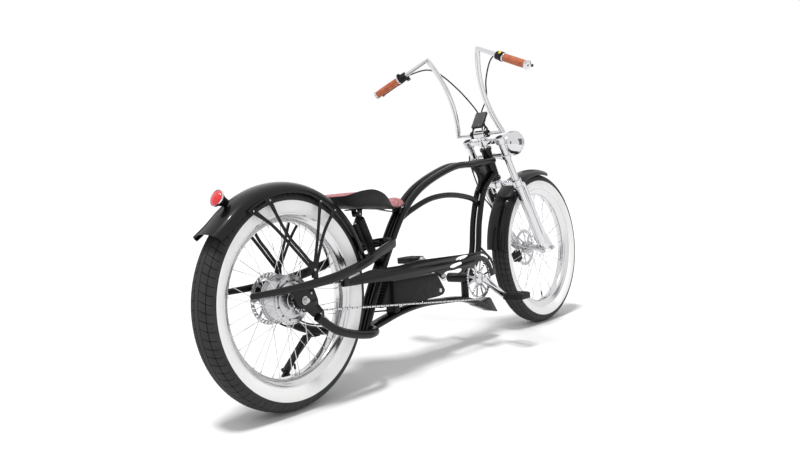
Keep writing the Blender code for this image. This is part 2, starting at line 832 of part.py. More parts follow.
def loop_path(line, centre_x, radius, start_z, end_z, count):
    """A stay's two arms and the half circle that joins them."""
    turn = []
    for i in range(7):
        angle = math.pi / 2 - math.pi / 12 * i
        height = start_z + (end_z - start_z) * math.sin(math.pi / 12 * i)
        turn.append(Vector((centre_x + radius * math.cos(angle), radius * math.sin(angle), height)))
    half = [Vector(p) for p in line] + turn
    return smooth_path(half + [mirrored(p) for p in reversed(half[:-1])], count)


def twin_tubes(line, radius, count, low_y, high_y):
    shapes = []
    for sign in (-1, 1):
        path = smooth_path(on_side(line, 0), count)
        first = path[0].x
        span = path[-1].x - first
        for point in path:
            share = (point.x - first) / span
            point.y = sign * (low_y + (high_y - low_y) * share**2)
        shapes.append(tube(path, radius, 8, (0, 1, 0)))
    return shapes


def make_frame():
    shapes = twin_tubes(ARCH_LINE, ARCH_RADIUS, 10, ARCH_Y, ARCH_HEAD_Y)
    shapes += twin_tubes(DOWN_LINE, DOWN_TUBE_RADIUS, 7, ARCH_Y, ARCH_Y)
    shapes.append(tube(smooth_path(on_side(INNER_ARCH_LINE, 0), 8), INNER_ARCH_RADIUS, 8, (0, 1, 0)))
    lower = smooth_path(on_side(LOWER_LINE, 0), 7)
    shapes.append(sweep(lower, oval_section(LOWER_TUBE_HALF_HEIGHT, LOWER_TUBE_HALF_WIDTH, 8), up=(0, 1, 0)))
    fin = [(1.090, -0.178), (1.160, -0.182), (1.222, -0.172), (1.276, -0.248), (1.190, -0.224), (1.110, -0.195)]
    shapes.append(plate(fin, -0.020, 0.020))
    gusset = arc((1.187, 0.346), 0.047, 80, -75, 6)
    gusset += [(1.235, 0.285), (1.345, 0.365), (1.325, 0.425), (1.180, 0.412)]
    shapes.append(plate(gusset, -0.006, 0.006))

    low = head_point(HEAD_TUBE_LOW)
    high = head_point(HEAD_TUBE_HIGH)
    reach = (high - low).length
    cup = 0.012
    profile = [
        (STEERER_RADIUS + 0.0012, 0),
        (HEAD_CUP_RADIUS, 0),
        (HEAD_CUP_RADIUS, cup),
        (HEAD_TUBE_RADIUS, cup + 0.002),
        (HEAD_TUBE_RADIUS, reach - cup - 0.002),
        (HEAD_CUP_RADIUS, reach - cup),
        (HEAD_CUP_RADIUS, reach),
        (STEERER_RADIUS + 0.0012, reach),
    ]
    shapes.append(turned(profile, 12, low, HEAD_AXIS))
    x, z = CRANK_CENTRE
    shapes.append(rod((x, -0.045, z), (x, 0.070, z), BB_SHELL_RADIUS, 12))
    shapes.append(rod((x + 0.008, 0, z), (x + 0.004, 0, -0.155), 0.016, 8))

    upper = loop_path(UPPER_STAY_LINE, 0.505, 0.057, 0.130, 0.138, 18)
    shapes.append(sweep(upper, oval_section(UPPER_STAY_HALF_WIDTH, UPPER_STAY_HALF_HEIGHT, 8, 0.7)))
    x, z = BRACE_POINT
    shapes.append(rod((x, -0.078, z), (x, 0.078, z), BRACE_RADIUS, 8))
    under = loop_path(LOWER_STAY_LINE, 0.300, 0.095, -0.165, -0.168, 14)
    shapes.append(sweep(under, ring_section(LOWER_STAY_RADIUS, 8)))
    dropout = [
        (-0.053, 0.036),
        (0.045, 0.036),
        (0.062, -0.007),
        (0.061, -0.021),
        (0.086, -0.047),
        (0.084, -0.070),
        (0.034, -0.060),
        (-0.002, -0.029),
        (-0.031, -0.011),
    ]
    axle_hole = arc((0, 0), REAR_AXLE_RADIUS + 2 * GAP, 0, 330, 11)
    half = DROPOUT_THICKNESS / 2
    for sign in (-1, 1):
        y_low, y_high = sorted((sign * (DROPOUT_Y - half), sign * (DROPOUT_Y + half)))
        shapes.append(plate(dropout, y_low, y_high, [axle_hole]))
        y_low, y_high = sorted((sign * 0.0908, sign * 0.0948))
        shapes.append(block((0.050, y_low, 0.052), (0.072, y_high, 0.084)))

    lug_low, lug_high = (0.0155, 0.0205)
    for sign in (-1, 1):
        y_low, y_high = sorted((sign * lug_low, sign * lug_high))
        x, z = SEAT_PIVOT
        ear = [(x - 0.010, z + 0.002), (x + 0.004, z + 0.010), (x + 0.030, z - 0.004), (x - 0.002, z - 0.040), (x - 0.010, z - 0.034)]
        shapes.append(plate(ear, y_low, y_high))
        x, z = SHOCK_LOW
        ear = [(x - 0.012, z + 0.011), (x + 0.012, z + 0.011), (x + 0.058, z - 0.012), (x + 0.040, z - 0.040), (x - 0.012, z - 0.011)]
        shapes.append(plate(ear, y_low, y_high))
    x, z = CRANK_CENTRE
    shapes.append(rod((1.166, -0.015, 0.060), (1.140, -0.0870, 0.006), 0.005, 8))
    shapes.append(block((0.190, -0.0990, 0.020), (0.214, -0.0920, 0.055)))
    for block_x in (0.560, 0.740):
        shapes.append(block((block_x - 0.015, -0.022, -0.136), (block_x + 0.015, 0.022, -0.1073)))
    stand = Vector(STAND_PIVOT)
    shapes.append(block(stand - Vector((0.017, 0.037, 0.014)), stand + Vector((0.017, -0.012, 0.014))))
    frame = union(shapes)

    cutters = [
        rod(head_point(HEAD_TUBE_LOW - 0.02), head_point(HEAD_TUBE_HIGH + 0.02), STEERER_RADIUS + 0.0012, 12),
        rod((CRANK_CENTRE[0], -0.06, CRANK_CENTRE[1]), (CRANK_CENTRE[0], 0.09, CRANK_CENTRE[1]), SPINDLE_RADIUS + 0.0008, 12),
    ]
    for x, z in (SEAT_PIVOT, SHOCK_LOW):
        cutters.append(rod((x, -0.03, z), (x, 0.03, z), 0.0048, 10))
    axis = stand_axis()[0]
    low_end = stand - axis * (STAND_KNUCKLE_HALF + GAP)
    cutters.append(rod(low_end, stand + axis * 0.030, STAND_KNUCKLE_RADIUS + 4 * GAP, 16))
    add_piece("frame", cut(frame, cutters), BLACK)


# Chain guard, battery and controller


def make_guard():
    """A long plate that hooks over the chainring, with flame-shaped slots and two narrow ones along the hook."""
    centre = CRANK_CENTRE
    outline = [(0.834, 0.052), (0.634, 0.059), (0.500, 0.053), (0.338, 0.057), (0.255, 0.046), (0.205, 0.036)]
    outline += arc((0.190, 0.027), 0.010, 120, 270, 4)
    outline += [(0.226, 0.015), (0.332, 0.012), (0.503, 0.001), (0.731, 0.001), (0.790, -0.020), (0.858, -0.031)]
    outline += [(0.918, -0.026), (0.945, -0.012), (0.972, -0.012)]
    outline += arc(centre, GUARD_BAND_RADIUS, 140, -2, 9)
    outline += arc(centre, GUARD_HOOK_RADIUS, 2, 97, 8)
    outline += [(0.940, 0.048)]
    slots = [
        [(0.862, 0.026), (0.905, 0.028), (0.955, 0.038), (0.900, 0.038)],
        [(0.836, 0.012), (0.902, 0.016), (0.905, 0.004), (0.846, 0.002)],
        [(0.786, -0.007), (0.830, -0.004), (0.905, -0.008), (0.900, -0.019), (0.856, -0.023), (0.812, -0.018)],
    ]
    for start, end in ((52, 86), (18, 46)):
        slots.append(arc(centre, 0.102, start, end, 4) + arc(centre, 0.094, end, start, 4))
    half = GUARD_THICKNESS / 2
    add_piece("chain_guard", plate(outline, GUARD_Y - half, GUARD_Y + half, slots), BLACK)


def make_battery():
    outline = [(0.510, -0.106), (0.800, -0.107), (0.829, -0.103), (0.845, -0.088), (0.793, -0.011), (0.514, -0.006)]
    case = softened(plate(outline, -BATTERY_HALF_WIDTH, BATTERY_HALF_WIDTH), 0.004)
    add_piece("battery_pack", case, MATTE)
    box = [(0.446, -0.100), (0.5085, -0.100), (0.5085, -0.008), (0.5055, -0.008)]
    add_piece("motor_controller", plate(box, -0.036, 0.036), MATTE)


# Fenders


def fender_section(crest, edge, half_width, side_points=3):
    """A round channel seen from the front: (radius, y) along the outside, then back along the inside."""
    drop = crest - edge
    outer = []
    for i in range(2 * side_points + 1):
        angle = math.pi * i / (2 * side_points)
        outer.append((edge + drop * math.sin(angle) ** 0.75, half_width * math.cos(angle)))
    inner = []
    for r, y in outer:
        shrink = 1 - FENDER_THICKNESS / half_width
        inner.append((max(edge, r - FENDER_THICKNESS), y * shrink))
    return outer, inner


def fender_shell(centre, crest, edge, half_width, ends, steps, flare=0.0):
    outer, inner = fender_section(crest, edge, half_width)
    loop = outer + inner[::-1]
    bm = bmesh.new()
    rings = []
    for i in range(steps + 1):
        share = i / steps
        degrees = ends[0] + (ends[1] - ends[0]) * share
        lift = flare * max(0.0, share - 0.90) ** 2 * 100
        ring = []
        for r, y in loop:
            x, z = polar((centre, 0), r + lift, degrees)
            ring.append(bm.verts.new((x, y, z)))
        rings.append(ring)
    bm.faces.new(rings[0])
    bm.faces.new(rings[-1])
    for first, second in zip(rings, rings[1:]):
        for j in range(len(loop)):
            k = (j + 1) % len(loop)
            bm.faces.new((first[j], first[k], second[k], second[j]))
    bmesh.ops.recalc_face_normals(bm, faces=bm.faces)
    return bm


def make_fenders():
    rear = fender_shell(
        0, REAR_FENDER_CREST, REAR_FENDER_EDGE, REAR_FENDER_HALF_WIDTH, REAR_FENDER_ARC, 14, flare=0.018
    )
    foot = polar((0, 0), REAR_FENDER_CREST - 0.004, 12)
    brace = Vector((BRACE_POINT[0], 0, BRACE_POINT[1]))
    root = Vector((foot[0] + 0.003, 0, foot[1]))
    bridge = rod(root, brace - (brace - root).normalized() * (BRACE_RADIUS + GAP), 0.006, 8)
    add_piece("rear_fender", union([rear, bridge]), BLACK)
    front = fender_shell(
        WHEELBASE, FRONT_FENDER_CREST, FRONT_FENDER_EDGE, FRONT_FENDER_HALF_WIDTH, FRONT_FENDER_ARC, 10
    )
    shapes = [front]
    middle = leg_point(FENDER_BRACKET_Z)
    reach = LEG_Y - LEG_RADIUS - GAP
    for sign in (-1, 1):
        low_y, high_y = sorted((sign * (FRONT_FENDER_HALF_WIDTH - 0.0085), sign * reach))
        low = (middle.x - 0.007, low_y, middle.z - 0.009)
        shapes.append(block(low, (middle.x + 0.007, high_y, middle.z + 0.009)))
    add_piece("front_fender", union(shapes), BLACK, "steering")


def make_fender_stays():
    """A V of slotted arms on each side, from a tab on the upper stay to the fender's edge."""
    tops = [(-0.169, 0.300), (-0.094, 0.333), (0.131, 0.303), (0.191, 0.265)]
    section = [(-0.0045, -0.002), (0.0045, -0.002), (0.0045, 0.002), (-0.0045, 0.002)]
    for side, sign in (("left", 1), ("right", -1)):
        low_y = sign * 0.0885
        top_y = sign * (REAR_FENDER_HALF_WIDTH + 0.0035)
        shapes = [softened(block((0.048, low_y - 0.002, 0.0660), (0.074, low_y + 0.002, 0.100)), 0.001)]
        for i, (x, z) in enumerate(tops):
            start = Vector((0.053 + 0.0055 * i, low_y, 0.092))
            shapes.append(sweep([start, Vector((x, top_y, z))], section, up=(0, 1, 0)))
        add_piece("rear_fender_stay_" + side, union(shapes), BLACK)


def make_tail_lamp():
    centre = Vector((-0.242, 0, 0.350))
    outward = centre.normalized()
    facing = Vector((-0.98, 0, 0.2)).normalized()
    cup = [
        (0, -0.030),
        (0.016, -0.026),
        (0.028, -0.012),
        (0.034, 0.004),
        (0.034, 0.010),
        (0.0315, 0.010),
        (0.0300, 0.004),
        (0, 0.004),
    ]
    foot = rod(outward * (REAR_FENDER_CREST + 2 * GAP), centre - facing * 0.004, 0.010, 10)
    add_piece("tail_lamp_housing", union([turned(cup, 12, centre, facing), foot]), CHROME)
    lens = [(0, 0.0045), (0.0290, 0.0045), (0.0290, 0.010), (0.022, 0.017), (0, 0.021)]
    add_piece("tail_lamp_lens", turned(lens, 12, centre, facing), RED_LENS)


# Fork


def clamp_ring(bore, radius, half_length, centre, axis, steps=10):
    flat = bore / math.cos(math.pi / steps)
    profile = [(flat, -half_length), (radius, -half_length), (radius, half_length), (flat, half_length)]
    return turned(profile, steps, centre, axis)


def box_section(half_width, half_height):
    return [(-half_width, -half_height), (half_width, -half_height), (half_width, half_height), (-half_width, half_height)]


def crown(z, centre_bore):
    """Two clamps round the legs, joined by arms to a boss on the head axis."""
    middle = head_point(z)
    boss = clamp_ring(centre_bore, CROWN_BOSS_RADIUS, CROWN_HALF_HEIGHT, middle, HEAD_AXIS)
    if not centre_bore:
        boss = rod(middle - HEAD_AXIS * CROWN_HALF_HEIGHT, middle + HEAD_AXIS * CROWN_HALF_HEIGHT, CROWN_BOSS_RADIUS, 10)
    shapes = [boss]
    for sign in (-1, 1):
        leg = leg_point(z, sign * LEG_Y)
        across = (leg - middle).normalized()
        shapes.append(
            clamp_ring(STANCHION_RADIUS + 2 * GAP, LEG_RADIUS + 0.003, CROWN_HALF_HEIGHT + 0.002, leg, LEG_AXIS)
        )
        arm = [middle + across * 0.0190, leg - across * 0.0185]
        shapes.append(sweep(arm, box_section(0.013, 0.010), up=HEAD_AXIS))
    return shapes


def make_fork():
    shapes = crown(LOWER_CROWN_Z, 0)
    top = head_point(UPPER_CROWN_Z) + HEAD_AXIS * CROWN_HALF_HEIGHT
    shapes.append(rod(head_point(LOWER_CROWN_Z), top, STEERER_RADIUS, 12))
    add_piece("lower_crown_and_steerer", union(shapes), CHROME, "steering")
    shapes = crown(UPPER_CROWN_Z, STEERER_RADIUS + 2 * GAP)
    add_piece("upper_crown", union(shapes), CHROME, "steering")

    for side, sign in (("left", 1), ("right", -1)):
        y = sign * LEG_Y
        shoulder = LOWER_CROWN_Z - (CROWN_HALF_HEIGHT + 0.0025) * math.sin(LEG_ANGLE)
        base = leg_point(LEG_BOTTOM_Z, y)
        step = (leg_point(shoulder, y) - base).length
        top = (leg_point(LEG_TOP_Z, y) - base).length
        profile = [
            (0, 0),
            (LEG_RADIUS - 0.004, 0),
            (LEG_RADIUS, 0.006),
            (LEG_RADIUS, step - 0.003),
            (STANCHION_RADIUS, step),
            (STANCHION_RADIUS, top - 0.003),
            (STANCHION_RADIUS - 0.003, top),
            (0, top),
        ]
        shapes = [turned(profile, 10, base, LEG_AXIS)]
        truss = [
            leg_point(0.306, y, LEG_RADIUS - 0.010),
            leg_point(0.300, y, TRUSS_OFFSET * 0.72),
            leg_point(0.278, y, TRUSS_OFFSET),
            leg_point(0.160, y, TRUSS_OFFSET),
            leg_point(0.044, y, TRUSS_OFFSET),
        ]
        shapes.append(tube(smooth_path(truss, 5), TRUSS_RADIUS, 6, (0, 1, 0)))
        foot = leg_point(LEG_BOTTOM_Z)
        outline = [
            (foot.x - 0.014, foot.z + 0.030),
            (foot.x - 0.010, foot.z + 0.002),
            (foot.x + 0.035, foot.z - 0.028),
        ]
        outline += arc((WHEELBASE, 0), 0.017, 250, 430, 8)
        outline += [(foot.x + 0.062, foot.z + 0.032), (foot.x + 0.036, foot.z + 0.058)]
        axle_hole = arc((WHEELBASE, 0), FRONT_AXLE_RADIUS + 2 * GAP, 0, 324, 9)
        y_low, y_high = sorted((sign * (LEG_Y - 0.003), sign * (LEG_Y + 0.003)))
        shapes.append(plate(outline, y_low, y_high, [axle_hole]))
        add_piece("fork_leg_" + side, union(shapes), CHROME, "steering")


def make_caliper(name, centre, degrees, y, low_y, high_y, pivot):
    """A block over the disc's edge, slotted where the disc runs."""
    low = (ROTOR_RADIUS - 0.026, low_y, -0.024)
    high = (ROTOR_RADIUS + 0.012, high_y, 0.024)
    turn = Matrix.Translation((centre, 0, 0)) @ Matrix.Rotation(-math.radians(degrees), 4, "Y")
    body = solid(moved(softened(block(low, high), 0.004), turn))
    slot = block((0.02, y - 0.0025, -0.05), (ROTOR_RADIUS + 0.004, y + 0.0025, 0.05))
    add_piece(name, cut(body, [moved(slot, turn)]), MATTE, pivot)


# Handlebar and controls


def riser_points(side):
    """An arc from the lower corner to the elbow, bowed towards the middle."""
    corner = Vector((BAR_CENTRE[0], BAR_CORNER_Y, BAR_CENTRE[1]))
    elbow = Vector(ELBOW)
    points = []
    for i in range(1, 5):
        share = i / 5
        point = corner.lerp(elbow, share)
        point.y -= RISER_BOW * 4 * share * (1 - share)
        points.append(point)
    return [handed(side, p) for p in [corner, *points, elbow]]


def grip_place(side, inward):
    """A point on the bar, inward of the grip's inner end."""
    return handed(side, GRIP_INNER) - GRIP_AXIS[side] * inward


def make_handlebar():
    path = [handed("left", GRIP_OUTER) - GRIP_AXIS["left"] * 0.003]
    path += list(reversed(riser_points("left")))
    path += riser_points("right")
    path.append(handed("right", GRIP_OUTER) - GRIP_AXIS["right"] * 0.003)
    bar = solid(tube(path, BAR_RADIUS, 10, (1, 0, 0)))

    x, z = BAR_CENTRE
    post_low = head_point(UPPER_CROWN_Z) + HEAD_AXIS * (CROWN_HALF_HEIGHT + GAP)
    shapes = [
        rod(post_low, post_low + HEAD_AXIS * 0.022, 0.021, 12),
        rod((x, -0.026, z), (x, 0.026, z), 0.0185, 14),
    ]
    bore = rod((x, -0.04, z), (x, 0.04, z), BAR_RADIUS + 3 * GAP, 14)
    add_piece("stem", cut(union(shapes), [bore]), CHROME, "steering")
    return bar


def make_grips(bar):
    length = GRIP_LENGTH
    bore = BAR_RADIUS + 3 * GAP
    for side in ("left", "right"):
        pivot = "throttle" if side == "right" else "steering"
        start = handed(side, GRIP_INNER)
        inner = bore if side == "right" else BAR_RADIUS - 0.003
        sleeve = [
            (inner, 0),
            (COLLAR_RADIUS, 0),
            (COLLAR_RADIUS, COLLAR_LENGTH),
            (SLEEVE_RADIUS, COLLAR_LENGTH),
            (SLEEVE_RADIUS, length - COLLAR_LENGTH),
            (COLLAR_RADIUS, length - COLLAR_LENGTH),
            (COLLAR_RADIUS + 0.0015, length),
            (0.012, length + 0.004),
            (0.004, length + 0.004),
            (0.004, length - 0.0015),
            (inner, length - 0.0015),
        ]
        made = turned(sleeve, 10, start, GRIP_AXIS[side])
        if side == "right":
            add_piece("grip_sleeve_right", made, CHROME, pivot)
        else:
            bar = combine(bar, [solid(made)], "UNION")
        low = COLLAR_LENGTH + GAP
        high = length - COLLAR_LENGTH - GAP
        wrap = [
            (SLEEVE_RADIUS + GAP * 2, low),
            (GRIP_RADIUS - 0.0008, low),
            (GRIP_RADIUS, low + 0.006),
            (GRIP_RADIUS, high - 0.006),
            (GRIP_RADIUS - 0.0008, high),
            (SLEEVE_RADIUS + GAP * 2, high),
        ]
        add_piece("grip_wrap_" + side, turned(wrap, 10, start, GRIP_AXIS[side]), LEATHER, pivot)
    add_piece("handlebar", bar, CHROME, "steering")


def lever_frame(side):
    """Where a brake lever hinges: ahead of the bar, with the lever running outboard along the grip."""
    forward = Vector((1, 0, 0)) - GRIP_AXIS[side] * GRIP_AXIS[side].x
    forward.normalize()
    pivot = grip_place(side, LEVER_CLAMP_INWARD) + forward * 0.040
    return pivot, forward, forward.cross(GRIP_AXIS[side]).normalized()


def make_brake_levers():
    length = GRIP_LENGTH
    for side in ("left", "right"):
        pivot, forward, upward = lever_frame(side)
        axis = GRIP_AXIS[side]
        place = grip_place(side, LEVER_CLAMP_INWARD)
        perch = sweep([place + forward * 0.0145, pivot - forward * 0.004], box_section(0.008, 0.008), up=upward)
        shapes = [clamp_ring(BAR_RADIUS + 3 * GAP, 0.018, 0.009, place, axis)]
        cutters = []
        if side == "left":
            shapes = control_pod(side)
            cutters = [button_well(side)]
        shapes += [perch, rod(pivot - upward * 0.011, pivot + upward * 0.011, 0.009, 10)]
        cutters.append(sweep([pivot - axis * 0.0125, pivot + axis * 0.03], box_section(0.0125, 0.0045), up=upward))
        cutters.append(rod(pivot - upward * 0.02, pivot + upward * 0.02, 0.0035, 8))
        add_piece("brake_lever_clamp_" + side, cut(union(shapes), cutters), MATTE, "steering")
        reach = [
            pivot - axis * 0.004,
            pivot + axis * 0.012 + forward * 0.001,
            pivot + axis * 0.040 + forward * 0.004,
            pivot + axis * (length * 0.55) - forward * 0.001,
            pivot + axis * (length + 0.020) + forward * 0.004,
        ]
        shapes = [
            sweep(smooth_path(reach, 7), box_section(0.0045, 0.0038), up=upward),
            rod(pivot - upward * 0.0105, pivot + upward * 0.0105, 0.003, 8),
            rod(pivot - upward * 0.0040, pivot + upward * 0.0040, 0.0075, 10),
        ]
        add_piece("brake_lever_" + side, union(shapes), MATTE, "brake_lever_" + side)


def button_frame(side):
    """A control's button sits on the rear upper side of the bar."""
    axis = GRIP_AXIS[side]
    back = Vector((-0.75, 0, 0.66))
    back = (back - axis * back.dot(axis)).normalized()
    return grip_place(side, BUTTON_INWARD), back


def control_pod(side):
    """A round housing on the bar with a boss for its button; the left one is in one piece with the lever's clamp."""
    place, back = button_frame(side)
    bore = BAR_RADIUS + 4 * GAP
    end = POD_HALF_LENGTH
    clamp_end = BUTTON_INWARD - LEVER_CLAMP_INWARD - 0.009
    ring = [(bore, -end), (0.0190, -end), (0.0205, 0.0), (0.0190, end), (bore, end)]
    if side == "left":
        ring = [(bore, clamp_end), (0.018, clamp_end), (0.018, -end), *ring[1:]]
    boss = rod(place + back * 0.0150, place + back * 0.0245, end - GAP, 10)
    return [turned(ring, 10, place, GRIP_AXIS[side]), boss]


def button_well(side):
    place, back = button_frame(side)
    return rod(place + back * 0.0165, place + back * 0.03, 0.0068, 10)


def make_controls():
    housing = cut(union(control_pod("right")), [button_well("right")])
    add_piece("throttle_housing", housing, MATTE, "steering")
    cap = [(0, 0.0195), (0.0062, 0.0195), (0.0062, 0.0265), (0.004, 0.0280), (0, 0.0280)]
    for side, name, look in (("left", "switch_button", MATTE), ("right", "throttle_button", YELLOW)):
        place, back = button_frame(side)
        add_piece(name, turned(cap, 10, place, back), look, name)


def make_display():
    centre = Vector(DISPLAY_CENTRE)
    turn = Matrix.Translation(centre) @ Matrix.Rotation(DISPLAY_TILT, 4, "Y")
    half = (DISPLAY_THICKNESS / 2, DISPLAY_WIDTH / 2, DISPLAY_HEIGHT / 2)
    case = softened(block([-v for v in half], half), 0.003)
    add_piece("display", moved(case, turn), SCREEN, "steering")
    x, z = BAR_CENTRE
    back = DISPLAY_THICKNESS / 2 + GAP
    shapes = [moved(block((back, -0.024, -0.034), (back + 0.005, 0.024, 0.010)), turn)]
    for sign in (-1, 1):
        y = sign * 0.038
        shapes.append(clamp_ring(BAR_RADIUS + 3 * GAP, 0.0165, 0.006, (x, y, z), (0, 1, 0), 10))
        arm_top = turn @ Vector((back + 0.0050, sign * 0.020, -0.020))
        foot = Vector((x, y, z)) + (arm_top - Vector((x, arm_top.y, z))).normalized() * 0.0145
        shapes.append(sweep([foot, arm_top], box_section(0.004, 0.003), up=(0, 1, 0)))
    add_piece("display_bracket", union(shapes), MATTE, "steering")


def make_headlamp():
    x, z = LAMP_FRONT
    shell = [
        (0, -LAMP_LENGTH),
        (LAMP_RADIUS * 0.38, -LAMP_LENGTH * 0.95),
        (LAMP_RADIUS * 0.66, -LAMP_LENGTH * 0.76),
        (LAMP_RADIUS * 0.84, -LAMP_LENGTH * 0.50),
        (LAMP_RADIUS * 0.93, -LAMP_LENGTH * 0.20),
        (LAMP_RADIUS, -0.012),
        (LAMP_RADIUS, 0),
        (LAMP_RADIUS - 0.005, 0.001),
        (LAMP_RADIUS - 0.006, -0.010),
        (LAMP_RADIUS * 0.55, -LAMP_LENGTH * 0.5),
        (0, -LAMP_LENGTH * 0.6),
    ]
    boss = rod((LAMP_PIVOT[0], -0.007, LAMP_PIVOT[1]), (LAMP_PIVOT[0], 0.007, LAMP_PIVOT[1]), 0.009, 12)
    post = rod((LAMP_PIVOT[0], 0, LAMP_PIVOT[1]), (LAMP_PIVOT[0], 0, z - 0.044), 0.006, 10)
    pin_hole = rod((LAMP_PIVOT[0], -0.02, LAMP_PIVOT[1]), (LAMP_PIVOT[0], 0.02, LAMP_PIVOT[1]), 0.0036, 10)
    body = cut(union([turned(shell, 14, (x, 0, z), (1, 0, 0)), boss, post]), [pin_hole])
    add_piece("headlamp_shell", body, CHROME, "headlamp")
    inner = LAMP_RADIUS - 0.0065
    lens = [(0, -0.008), (inner - 0.004, -0.008), (inner, -0.002), (inner - 0.006, 0.004), (inner * 0.55, 0.008), (0, 0.010)]
    add_piece("headlamp_lens", turned(lens, 14, (x, 0, z), (1, 0, 0)), CLEAR_LENS, "headlamp")

    collar_z = 0.446
    front = leg_point(collar_z, 0, 0.0225)
    shapes = [rod((front.x, -0.0885, front.z), (front.x, 0.0885, front.z), 0.006, 8)]
    for sign in (-1, 1):
        y = sign * LEG_Y
        collar = leg_point(collar_z, y)
        shapes.append(clamp_ring(STANCHION_RADIUS + 2 * GAP, 0.0205, 0.009, collar, LEG_AXIS, 10))
        low_y, high_y = sorted((sign * 0.0073, sign * 0.0110))
        shapes.append(plate(crank_outline(LAMP_PIVOT, (front.x + 0.002, front.z), 0.009, 0.009), low_y, high_y))
    shapes.append(rod((LAMP_PIVOT[0], -0.014, LAMP_PIVOT[1]), (LAMP_PIVOT[0], 0.014, LAMP_PIVOT[1]), 0.003, 6))
    add_piece("headlamp_bracket", union(shapes), CHROME, "steering")


# Seat

SEAT_STATIONS = [
    # x, half width as a share of the widest, top, rim, underside
    (0.283, 0.42, 0.318, 0.308, 0.292),
    (0.293, 0.68, 0.332, 0.318, 0.284),
    (0.312, 0.85, 0.343, 0.325, 0.280),
    (0.345, 0.97, 0.349, 0.327, 0.278),
    (0.390, 1.00, 0.350, 0.325, 0.278),
    (0.430, 0.92, 0.344, 0.318, 0.278),
    (0.470, 0.74, 0.328, 0.304, 0.277),
    (0.510, 0.54, 0.306, 0.286, 0.272),
    (0.548, 0.40, 0.298, 0.276, 0.266),
    (0.585, 0.33, 0.302, 0.272, 0.262),
    (0.618, 0.29, 0.306, 0.276, 0.266),
    (0.646, 0.22, 0.299, 0.281, 0.272),
    (0.664, 0.10, 0.288, 0.284, 0.281),
]


def loft(rings):
    bm = bmesh.new()
    made = [[bm.verts.new(p) for p in ring] for ring in rings]
    bm.faces.new(made[0])
    bm.faces.new(made[-1])
    for first, second in zip(made, made[1:]):
        for j in range(len(first)):
            k = (j + 1) % len(first)
            bm.faces.new((first[j], first[k], second[k], second[j]))
    bmesh.ops.recalc_face_normals(bm, faces=bm.faces)
    return bm


def make_seat():
    """A crowned cushion in a moulded shell, carried by a steel rail."""
    cushion = []
    shell = []
    for x, share, top, rim, under in SEAT_STATIONS:
        half = SEAT_HALF_WIDTH * share
        ring = []
        for i in range(9):
            angle = math.pi * i / 8
            height = rim + GAP * 2 + 0.004 + (top - rim - 0.004) * math.sin(angle) ** 0.7
            ring.append((x, half * math.cos(angle), height))
        ring += [(x, -half * 0.95, rim + GAP * 2), (x, 0, rim + GAP * 2), (x, half * 0.95, rim + GAP * 2)]
        cushion.append(ring)
        if x > 0.63:
            continue
        belly = half * 0.82
        ring = [(x, half, rim), (x, 0, rim), (x, -half, rim)]
        ring += [(x, -half * 0.97, (rim + under) / 2), (x, -belly, under), (x, 0, under)]
        ring += [(x, belly, under), (x, half * 0.97, (rim + under) / 2)]
        shell.append(ring)
    add_piece("seat_cushion", loft(cushion), ROSE, "seat")
    add_piece("seat_shell", loft(shell), MATTE, "seat")

    x, z = SEAT_PIVOT
    line = [(x, 0, z), (0.610, 0, 0.252), (0.560, 0, 0.257), (0.500, 0, 0.268), (0.430, 0, 0.2735), (0.340, 0, 0.2735)]
    strap = [(-0.0025, -0.012), (0.0025, -0.012), (0.0025, 0.012), (-0.0025, 0.012)]
    shapes = [
        sweep([Vector(p) for p in line], strap, up=(0, 1, 0)),
        rod((x, -0.0145, z), (x, 0.0145, z), 0.008, 10),
        rod((x, -0.024, z), (x, 0.024, z), 0.004, 8),
    ]
    x, z = SHOCK_HIGH
    for sign in (-1, 1):
        y_low, y_high = sorted((sign * 0.0125, sign * 0.0165))
        ear = arc((x, z), 0.011, 180, 360, 4) + [(x + 0.014, 0.2765), (x - 0.014, 0.2765)]
        shapes.append(plate(ear, y_low, y_high))
    shapes.append(block((x - 0.014, -0.0165, 0.2715), (x + 0.014, 0.0165, 0.2765)))
    hole = rod((x, -0.03, z), (x, 0.03, z), 0.0056, 10)
    add_piece("seat_rail", cut(union(shapes), [hole]), BLACK, "seat")


